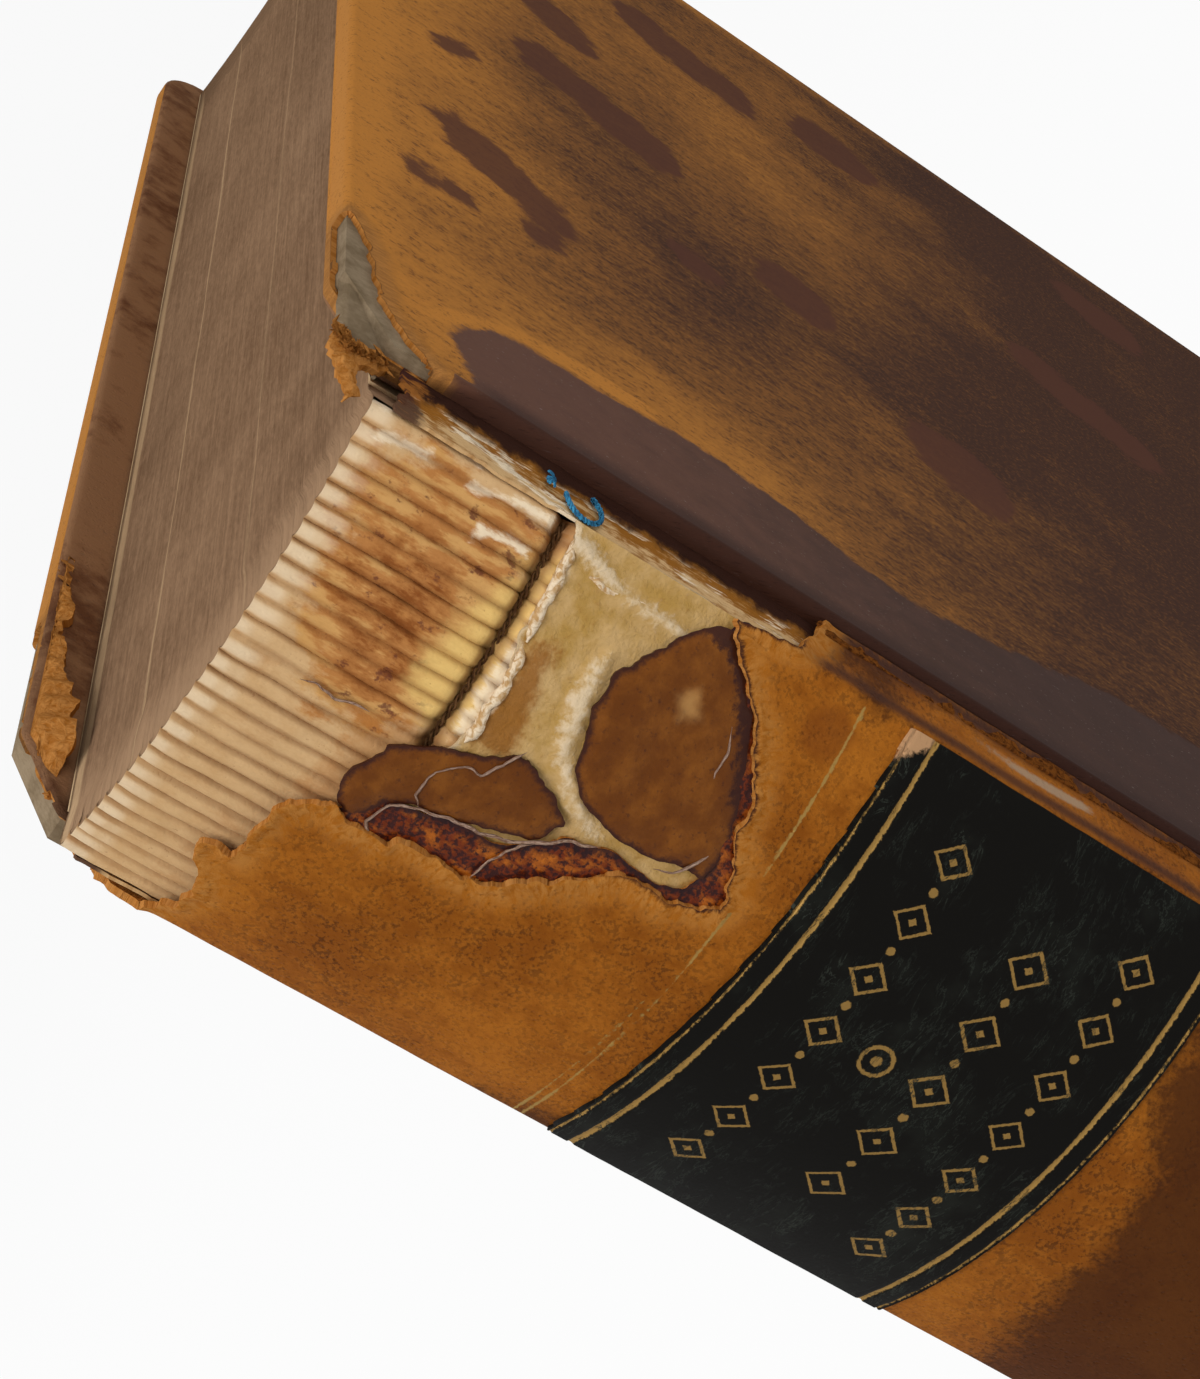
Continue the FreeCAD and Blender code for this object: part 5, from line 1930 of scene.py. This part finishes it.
    def _measures(self, grid: Array) -> dict[str, Array]:
        """The measures that the finish reads.

        Args:
            grid: Points as distance along, drop from the head and level.

        Returns:
            The measures by name.
        """
        a, drop, level = grid[..., 0], grid[..., 1], grid[..., 2]
        grain = Grain(self.seed + 2)
        _, along = self.wear.nearest(a, drop - COVER_OVER)
        torn = -self.wear.inside(a, drop - COVER_OVER)
        torn = np.where(level < SKIN_OUTER - 0.9, np.maximum(torn, self._bare_level(a) - level), torn)
        blot = np.full(a.shape, -9.0)
        for a0, b0, a1, b1, size in self.blots:
            over, da, db = (a - a0) * 0.6, (a1 - a0) * 0.6, b1 - b0
            share = np.clip((over * da + (drop - b0) * db) / max(da * da + db * db, 1e-6), 0, 1)
            reach = 1.4 * size - np.hypot(over - share * da, drop - b0 - share * db)
            blot = np.maximum(blot, reach)
        blot = blot + 1.0 * grain.layered(a, drop, 4.0)
        head = smooth(28.0 - drop + 7 * grain.at(a, drop, 16), 0, 26) * (1 - 0.30 * smooth(a, 50, 150))
        joint = smooth(46.0 - a, 0, 34) * smooth(62.0 - drop, 0, 40)
        edge = np.minimum(BOARD_WIDTH - a, np.minimum(drop, BOARD_HEAD - drop))
        rim = smooth(5.0 - edge, 0, 4.5)
        streak = smooth(self.streak.inside(a, drop), -0.3, 0.5)
        far = smooth(a, 30, 100) * smooth(78 - drop, 0, 40)
        warm = np.clip(0.21 + 0.24 * far + 0.60 * head + 0.50 * joint * (1 - head) + 0.30 * rim
                       + 0.8 * streak - 0.36 * smooth(drop, 40, 84)
                       + 0.24 * grain.layered(a, drop, 34.0), 0, 1)
        rolled = smooth(SKIN_OUTER - level, 0.05, 0.5)
        outer = smooth(a, -0.2, 1.2)
        worn = (rolled * 0.62 * smooth(level, 16.9, 17.6) + 0.16 * rim * (1 - rolled)) * outer
        under = np.where(level < 17.2, 3.0, -9.0) - 3.2 * smooth(level, 16.7, 17.2)
        upright = np.where(level > SKIN_OUTER - 0.05, drop, drop + 3 * (SKIN_OUTER - level))
        band = np.maximum(self.band.inside(a, drop), np.where((a < 0.3) & (drop > 7.5), 1.0, -9.0))
        return {"lay": laid(a, upright, level), "torn": torn, "blot": blot,
                "fringe": laid(along, torn), "band": band, "warm": warm, "worn": worn, "under": under}


# Outlines on the boards: distance from the edge at the joint, and depth below the head.
FRONT_WEAR = Patch((
    (17.9, -4), (17.4, 0.2), (15.3, 1), (11.7, 1.6), (5.2, 2.3), (3.2, 3.1), (1.1, 4.1),
    (-0.2, 5.6), (-3, 7.6), (-3, -4),
), ragged=0.25, wave=1.5, teeth=0.22, tooth=0.6, seed=71)
BACK_WEAR = Patch((
    (24, -4), (23.5, 0.1), (17, 0.6), (10.2, 1.1), (7.4, 1.7), (4.2, 3), (1.6, 4.6),
    (-3, 7.4), (-3, -4),
), ragged=0.25, wave=1.5, teeth=0.22, tooth=0.6, seed=73)
FRONT_BAND = Patch((
    (-3, 8.6), (2, 8.8), (6, 7.6), (8.3, 7.9), (11, 9.8), (12.9, 12.3), (13.2, 18.2),
    (14.6, 26), (13.4, 33.6), (10.6, 40.9), (12.9, 49.5), (17.2, 59.2), (18.1, 67.2),
    (17, 84), (14, 110), (15.5, 150), (13, 200), (9, 229), (-3, 233),
))
BACK_BAND = Patch((
    (-3, 9), (8, 10), (13, 24), (12, 60), (16, 95), (13, 150),
    (14.5, 205), (8, 228), (-3, 232),
))
# Blots as drawn-out ovals: both ends of the middle line and the size.
FRONT_BLOTS = (
    (50.1, 9.3, 44.2, 16, 2), (35, 6.2, 35.9, 8.8, 1), (87.4, 18.8, 82, 29, 2.3),
    (128.6, 32.4, 124.6, 42.2, 2.4), (131.2, 53.8, 131, 57, 2.8), (66.6, 40.6, 66.4, 43, 2.3),
    (108, 19.4, 105, 22, 2.3), (38.4, 15, 38.4, 15.8, 0.9), (56.3, 30, 55.9, 31.6, 1.2),
    (48.1, 52.6, 48.1, 55.4, 2.6), (138.6, 90, 138, 94, 2.6), (72.6, 9.2, 73.4, 11, 0.9),
    (96, 74, 92, 83, 2.4), (60, 112, 66, 121, 3), (118, 130, 113, 141, 2.8),
    (34, 150, 36, 158, 2.2), (82, 168, 88, 175, 2.6), (132, 190, 127, 200, 2.5),
    (46, 204, 50, 209, 2), (101, 218, 96, 223, 2.2),
)
BACK_BLOTS = (
    (40, 22, 46, 30, 2.6), (92, 16, 96, 24, 2.2), (126, 48, 120, 55, 2.8),
    (62, 70, 57, 79, 2.4), (104, 98, 110, 104, 3), (38, 118, 36, 127, 2),
    (80, 142, 86, 150, 2.6), (134, 158, 129, 166, 2.4), (52, 188, 58, 195, 2.6),
    (108, 212, 102, 218, 2.2),
)
ORANGE_STREAK = Patch((
    (7.2, 5.6), (10.5, 7.2), (15, 12.5), (16.4, 18.5), (16.2, 23), (14.6, 23), (13.9, 18.3),
    (13.4, 12.3), (11.2, 9.2), (8, 7.2),
))
FRONT_TAB = TornFibres(
    "front_torn_tab", ((-72.4, -17.9, 236.8), (-74.0, -17.8, 235.8), (-73.2, -17.7, 233.6)),
    out=(-0.6, 0.0, 0.5), up=(-0.3, -0.9, 0.2), count=190, length=0.9, spread=0.5, thick=0.14, seed=201)
FRONT_FRAY = TornFibres(
    "front_frayed_edge", ((-55.4, -17.3, 236.9), (-60.0, -17.35, 236.9), (-65.6, -17.4, 236.9)),
    out=(0.0, 0.3, 0.45), up=(0.0, 0.5, 0.2), count=150, length=0.8, thick=0.10, seed=203)
BACK_FRAY = TornFibres(
    "back_frayed_edge", ((-46.0, 16.9, 236.7), (-60.0, 16.9, 236.5), (-68.0, 16.8, 236.0)),
    out=(0.0, -0.6, 0.4), up=(0.0, -0.5, 0.2), count=160, length=1.0, spread=0.4, thick=0.12, seed=205)


# Outlines at the head corner of the front board: X and height.
SPLIT_CORNER = Patch((
    (-64.6, 237), (-68.4, 237), (-71, 236.9), (-72.3, 236.6), (-72.7, 235.6), (-72.9, 234.6),
    (-72.8, 233.2), (-71.6, 233.4), (-68.4, 235), (-64.6, 236.5),
), ragged=0.14, wave=0.9, seed=221)
TORN_FLAP = Patch((
    (-72.4, 236.7), (-73.4, 237), (-75, 236.7), (-76.6, 236.2), (-78, 235.3), (-77.4, 234.7),
    (-76, 235.2), (-74.9, 235.2), (-74.2, 234.2), (-73.6, 233.4), (-72.7, 233.2), (-72.5, 235.4),
), ragged=0.35, wave=0.8, teeth=0.25, tooth=0.5, seed=223)


@dataclass
class TornCorner:
    """What is left at the front board's head corner: split millboard and a flap of torn leather."""

    fine: float = 0.16

    def build(self, board: Finish, leather: Finish) -> list[Piece]:
        """Make both pieces.

        Args:
            board: Finish of the millboard.
            leather: Finish of the torn leather.

        Returns:
            The pieces.
        """
        grain = Grain(227)

        def board_level(x: Array, z: Array, torn: Array) -> Array:
            """How far out the split board's face lies: it thins towards its torn corner."""
            thin = smooth(-x, 67.0, 73.0) * 0.7 + 0.5 * smooth(0.5 - torn, 0, 0.5)
            return 18.62 - thin + 0.06 * grain.layered(x, z, 0.9)

        def flap_level(x: Array, z: Array, torn: Array) -> Array:
            """How far out the flap's face lies: it curls over the leaves."""
            return 18.05 - 0.20 * np.clip(-72.6 - x, 0, 9) + 0.22 * grain.layered(x, z, 0.8) \
                - 0.3 * smooth(0.5 - torn, 0, 0.5)

        return [self._sheet("front_split_corner", SPLIT_CORNER, board_level, 1.1, board, "millboard"),
                self._sheet("front_torn_flap", TORN_FLAP, flap_level, 0.5, leather, "under_leather")]

    def _sheet(self, name: str, patch: Patch, level: Callable[..., Array], thick: float,
               finish: Finish, slot: str) -> Piece:
        """An upright torn sheet that faces out of the front cover.

        Args:
            name: Name of the piece.
            patch: Its outline.
            level: How far out its face lies, from both coordinates and the distance to its edge.
            thick: Its thickness.
            finish: Its material.
            slot: Not used.

        Returns:
            The piece.
        """
        box = np.array(patch.corners)
        (x0, z0), (x1, z1) = box.min(0) - 0.5, box.max(0) + 0.5
        x, z = np.meshgrid(stations(x0, (x1, self.fine)), stations(z0, (z1, self.fine)), indexing="ij")
        x, z, keep = fit_edge(x, z, patch.inside, self.fine)
        form = Form(name)
        form.grid(laid(x, -level(x, z, patch.inside(x, z)), z), keep, turned=True, lay=laid(x, z))
        form.thicken(thick, finish=0)
        made = form.piece([finish], FRONT_BODY, sharp=50)
        return made


@dataclass
class TornCurl:
    """The strip of torn leather that curls inward over the head edge of the back board."""

    start: float = -70.8
    end: float = -40.0
    skin: float = 0.5

    def build(self, finish: Finish, under: Finish) -> Piece:
        """Make the strip.

        Args:
            finish: Finish of its outer side.
            under: Finish of its flesh side.

        Returns:
            The piece.
        """
        grain = Grain(211)
        x, share = np.meshgrid(stations(self.start, (self.end, 0.3)), np.linspace(0, 1, 13),
                               indexing="ij")
        swell = smooth(x, self.start, self.start + 5) * smooth(-x, -self.end, -self.end + 16)
        swell = swell * (0.62 + 0.70 * grain.layered(x, 0 * x, 3.4))
        outer = 17.45 + 0.5 * grain.layered(x + 40, 0 * x, 2.4)
        y = outer - share * (0.8 + 2.0 * swell) + 0.36 * grain.layered(x, share * 4, 0.9)
        rise = 0.95 * np.sin(share * np.pi * 0.9) - 1.9 * share**2 * swell \
            + 0.25 * grain.layered(x, share * 4 + 20, 0.8)
        cut_from = BOARD_EDGE_X + CUT_RUN
        low = np.where(x < cut_from, (x - cut_from) * CUT_RISE / CUT_RUN, 0.0)
        z = 236.6 + np.clip(rise, -9, 0.45) + low + 0.15 * grain.layered(x, share * 5 + 7, 1.0)
        form = Form("back_torn_curl")
        form.grid(laid(x, y, np.minimum(z, BOOK_HEIGHT - self.skin)), lay=laid(x, share * 4))
        form.thicken(self.skin)
        made = form.piece([finish, under], BACK_BODY, sharp=60)
        return made


@dataclass
class Joint:
    """What bridges spine and board on one side: the leather crease outside and the paper inside."""

    side: Side

    def build(self, leather: Finish, cloth: Finish, paper: Finish) -> list[Piece]:
        """Make the three strips.

        Args:
            leather: Finish of the crease outside.
            cloth: Finish of what shows where the leather is gone.
            paper: Finish of the fold inside.

        Returns:
            The pieces.
        """
        word = self.side.word
        head = 204.0 if self.side is Side.FRONT else 229.0
        return [
            self._strip(word + "_joint_crease", ((-74.4, 18.38), (-73.4, 18.58), (-72.6, 18.6)),
                        (1.2, head), leather, thick=0.16, seed=91),
            self._strip(word + "_joint_paper", ((-73.4, 16.44), (-71.0, 16.44), (-68.6, 16.46)),
                        (6.0, 231.0), paper, thick=0.05, seed=93),
            self._strip(word + "_joint_cloth", ((-76.7, 17.05), (-74.8, 17.6), (-72.9, 18.1)),
                        (4.0, 232.6), cloth, thick=0.22, seed=97),
        ]

    def _strip(self, name: str, path: Points, rise: tuple[float, float],
               finish: Finish, thick: float, seed: int) -> Piece:
        """A strip along the joint.

        Args:
            name: Name of the piece.
            path: Its section, as X and level, from the spine to the board.
            rise: Heights of its foot and head.
            finish: Its material.
            thick: Its thickness.
            seed: Seed of its waviness.

        Returns:
            The piece.
        """
        section = np.array(path)
        share, places = np.linspace(0, 1, 17), np.linspace(0, 1, len(section))
        x, level = (np.interp(share, places, section[:, k]) for k in (0, 1))
        z = stations(rise[0], (rise[1] - 34, 4.0), (rise[1], 0.4))
        x, z = np.meshgrid(x, z, indexing="ij")
        wave = Grain(seed)
        shown = smooth(z, rise[1] - 36, rise[1] - 30)
        away = level[:, None] - 0.22 * np.abs(wave.layered(z, x, 1.6)) * shown
        lower = (z > rise[1] - 0.5) * np.abs(wave.layered(x, 0 * x, 0.9)) * 1.6
        sign = self.side.value
        form = Form(name)
        form.grid(laid(x, sign * away, z - lower), turned=self.side is Side.FRONT,
                  lay=laid(x - SHOULDER_X, TEXT_HEAD - z))
        form.thicken(thick, finish=0)
        made = form.piece([finish], None)
        ends = [(float(x) * MM, sign * float(y) * MM, BOOK_HEIGHT / 2 * MM) for x, y in section[[0, -1]]]
        self.side.body
        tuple(ends[0])
        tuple(ends[1])
        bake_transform(made)
        return made


@dataclass
class Studio:
    """Pale floor, soft light and the camera."""

    place: Colour = (-234.57, -69.01, 267.55)
    forward: Colour = (0.8897, 0.338, -0.3068)
    up: Colour = (0.4521, -0.746, 0.489)
    focal: float = 3080.1
    frame_long: float = 1379.0
    sensor: float = 36.0

    def build(self) -> None:
        """Set the whole studio up."""
        self._camera()
        self._floor()
        self._world()
        centre = Vector((0.0, 0.0, 0.15))
        self._lamp("key_softbox", Vector((-0.50, 0.05, 0.72)), centre, 0.45, 3.9)
        self._lamp("fill_softbox", Vector((-0.10, -0.85, 0.45)), centre, 0.7, 2.7)
        self._lamp("back_softbox", Vector((0.25, 0.80, 0.55)), centre, 0.7, 3.0)
        bpy.context.scene.view_settings.view_transform = "Standard"

    def _camera(self) -> None:
        """The camera that the picture was solved for."""
        data = bpy.data.cameras.new("camera")
        data.sensor_width = self.sensor
        data.lens = self.focal * self.sensor / self.frame_long
        data.clip_start, data.clip_end = 0.01, 20.0
        camera = linked("camera", data)
        back = -Vector(self.forward).normalized()
        side = Vector(self.up).cross(back).normalized()
        turn = Matrix((side, back.cross(side), back)).transposed().to_4x4()
        camera.matrix_world = Matrix.Translation(Vector(self.place) * MM) @ turn
        bpy.context.scene.camera = camera

    @staticmethod
    def _floor() -> None:
        """A wide pale floor that keeps the shadow and shows white."""
        mesh = bpy.data.meshes.new("floor")
        half = 60.0
        mesh.from_pydata([(-half, -half, 0), (half, -half, 0), (half, half, 0), (-half, half, 0)], [],
                         [(0, 1, 2, 3)])
        floor = linked("floor", mesh)
        s = Shader("pale_floor", solid=True)
        plain = s.node("ShaderNodeBsdfDiffuse", {}, {"Color": (0.80, 0.80, 0.80)})
        glow = s.node("ShaderNodeEmission", {}, {"Color": (1.0, 1.0, 1.0), "Strength": 1.0})
        lit = s.node("ShaderNodeMixShader", {}, {0: s.seen() * 0.93, 1: plain, 2: glow})
        s.node("ShaderNodeOutputMaterial", {}, {"Surface": lit})
        mesh.materials.append(s.material)

    @staticmethod
    def _world() -> None:
        """Soft light all round, white where it is seen."""
        world = bpy.data.worlds.new("studio")
        bpy.context.scene.world = world
        world.use_nodes = True
        s = Nodes(world.node_tree)
        soft = s.node("ShaderNodeBackground", {}, {"Color": (1.0, 1.0, 1.0), "Strength": 0.28})
        white = s.node("ShaderNodeBackground", {}, {"Color": (1.0, 1.0, 1.0), "Strength": 1.0})
        lit = s.node("ShaderNodeMixShader", {}, {0: s.seen(), 1: soft, 2: white})
        s.node("ShaderNodeOutputWorld", {}, {"Surface": lit})

    @staticmethod
    def _lamp(name: str, place: Vector, aim: Vector, size: float, power: float) -> None:
        """A square softbox.

        Args:
            name: Its name.
            place: Where it stands, in metres.
            aim: What it faces.
            size: Its side in metres.
            power: Its power in watts.
        """
        data = bpy.data.lights.new(name, "AREA")
        data.size, data.energy = size, power
        lamp = linked(name, data)
        lamp.location = place
        lamp.rotation_mode = "QUATERNION"
        lamp.rotation_quaternion = (aim - place).to_track_quat("-Z", "Y")


def dress_packed_nodes(board: Finish) -> None:
    """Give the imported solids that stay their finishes, with that of the millboard.

    Args:
        board: Finish of the millboard.
    """
    hemp = Thread("hemp_cord", (0.50, 0.36, 0.20), (0.24, 0.15, 0.07)).make()
    linen = Thread("old_linen", (0.60, 0.45, 0.27), (0.34, 0.22, 0.11)).make()
    blue = Thread("blue_silk_band", (0.09, 0.30, 0.48), (0.03, 0.12, 0.24), 0.5).make()
    finishes = {
        "pastedown": PlainPaper("browned_endpaper").make(),
        "flyleaf": PlainPaper("pale_flyleaf", (0.64, 0.47, 0.28), (0.44, 0.28, 0.14)).make(),
        "board": board, "cord": hemp, "kettle": linen, "band": blue}
    for name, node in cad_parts.items():
        found = next((finish for word, finish in finishes.items() if word in name), None)
        if found is None or node.hide_render:
            continue
        node.data.materials.clear()
        node.data.materials.append(found)
        LOG.info("finish %s on %s", found.name, name)


def main() -> None:
    """Build the studio and every piece of the book."""
    logging.basicConfig(level=logging.INFO, format="%(message)s")
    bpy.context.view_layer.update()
    Studio().build()
    flesh = FleshSide().make()
    made = [TextBlock().build(FoldPaper().make(), LeafEdge().make())]
    made += SpineWraps().build(flesh) + Threads().build()
    grain_side, cloth = CoverSkin().make(), JointCloth().make()
    # Near-black flesh side for the joint crease strips: painted shade of the crevice at the joint.
    crease = FleshSide((0.20, 0.065, 0.012), (0.05, 0.016, 0.006)).make()
    paper = PlainPaper("joint_paper", (0.58, 0.44, 0.26), (0.36, 0.20, 0.09)).make(False)
    for cover in (Cover(Side.FRONT, FRONT_WEAR, FRONT_BAND, FRONT_BLOTS, ORANGE_STREAK,
                        bare_from=17.9, bare_to=17.7, seed=81),
                  Cover(Side.BACK, BACK_WEAR, BACK_BAND, BACK_BLOTS, ORANGE_STREAK,
                        bare_from=16.9, bare_to=17.5, seed=85)):
        made.append(cover.build(grain_side, flesh))
        made += Joint(cover.side).build(crease, cloth, paper)
    made += [FRONT_TAB.build(flesh, FRONT_BODY), FRONT_FRAY.build(flesh, FRONT_BODY),
             BACK_FRAY.build(flesh, BACK_BODY), TornCurl().build(flesh, flesh)]
    board = GreyBoard().make()
    made += TornCorner().build(board, flesh)
    dress_packed_nodes(board)
    for piece in made:
        LOG.info("%s: %d faces", piece.name, len(piece.data.polygons))


if __name__ == "__main__":
    main()
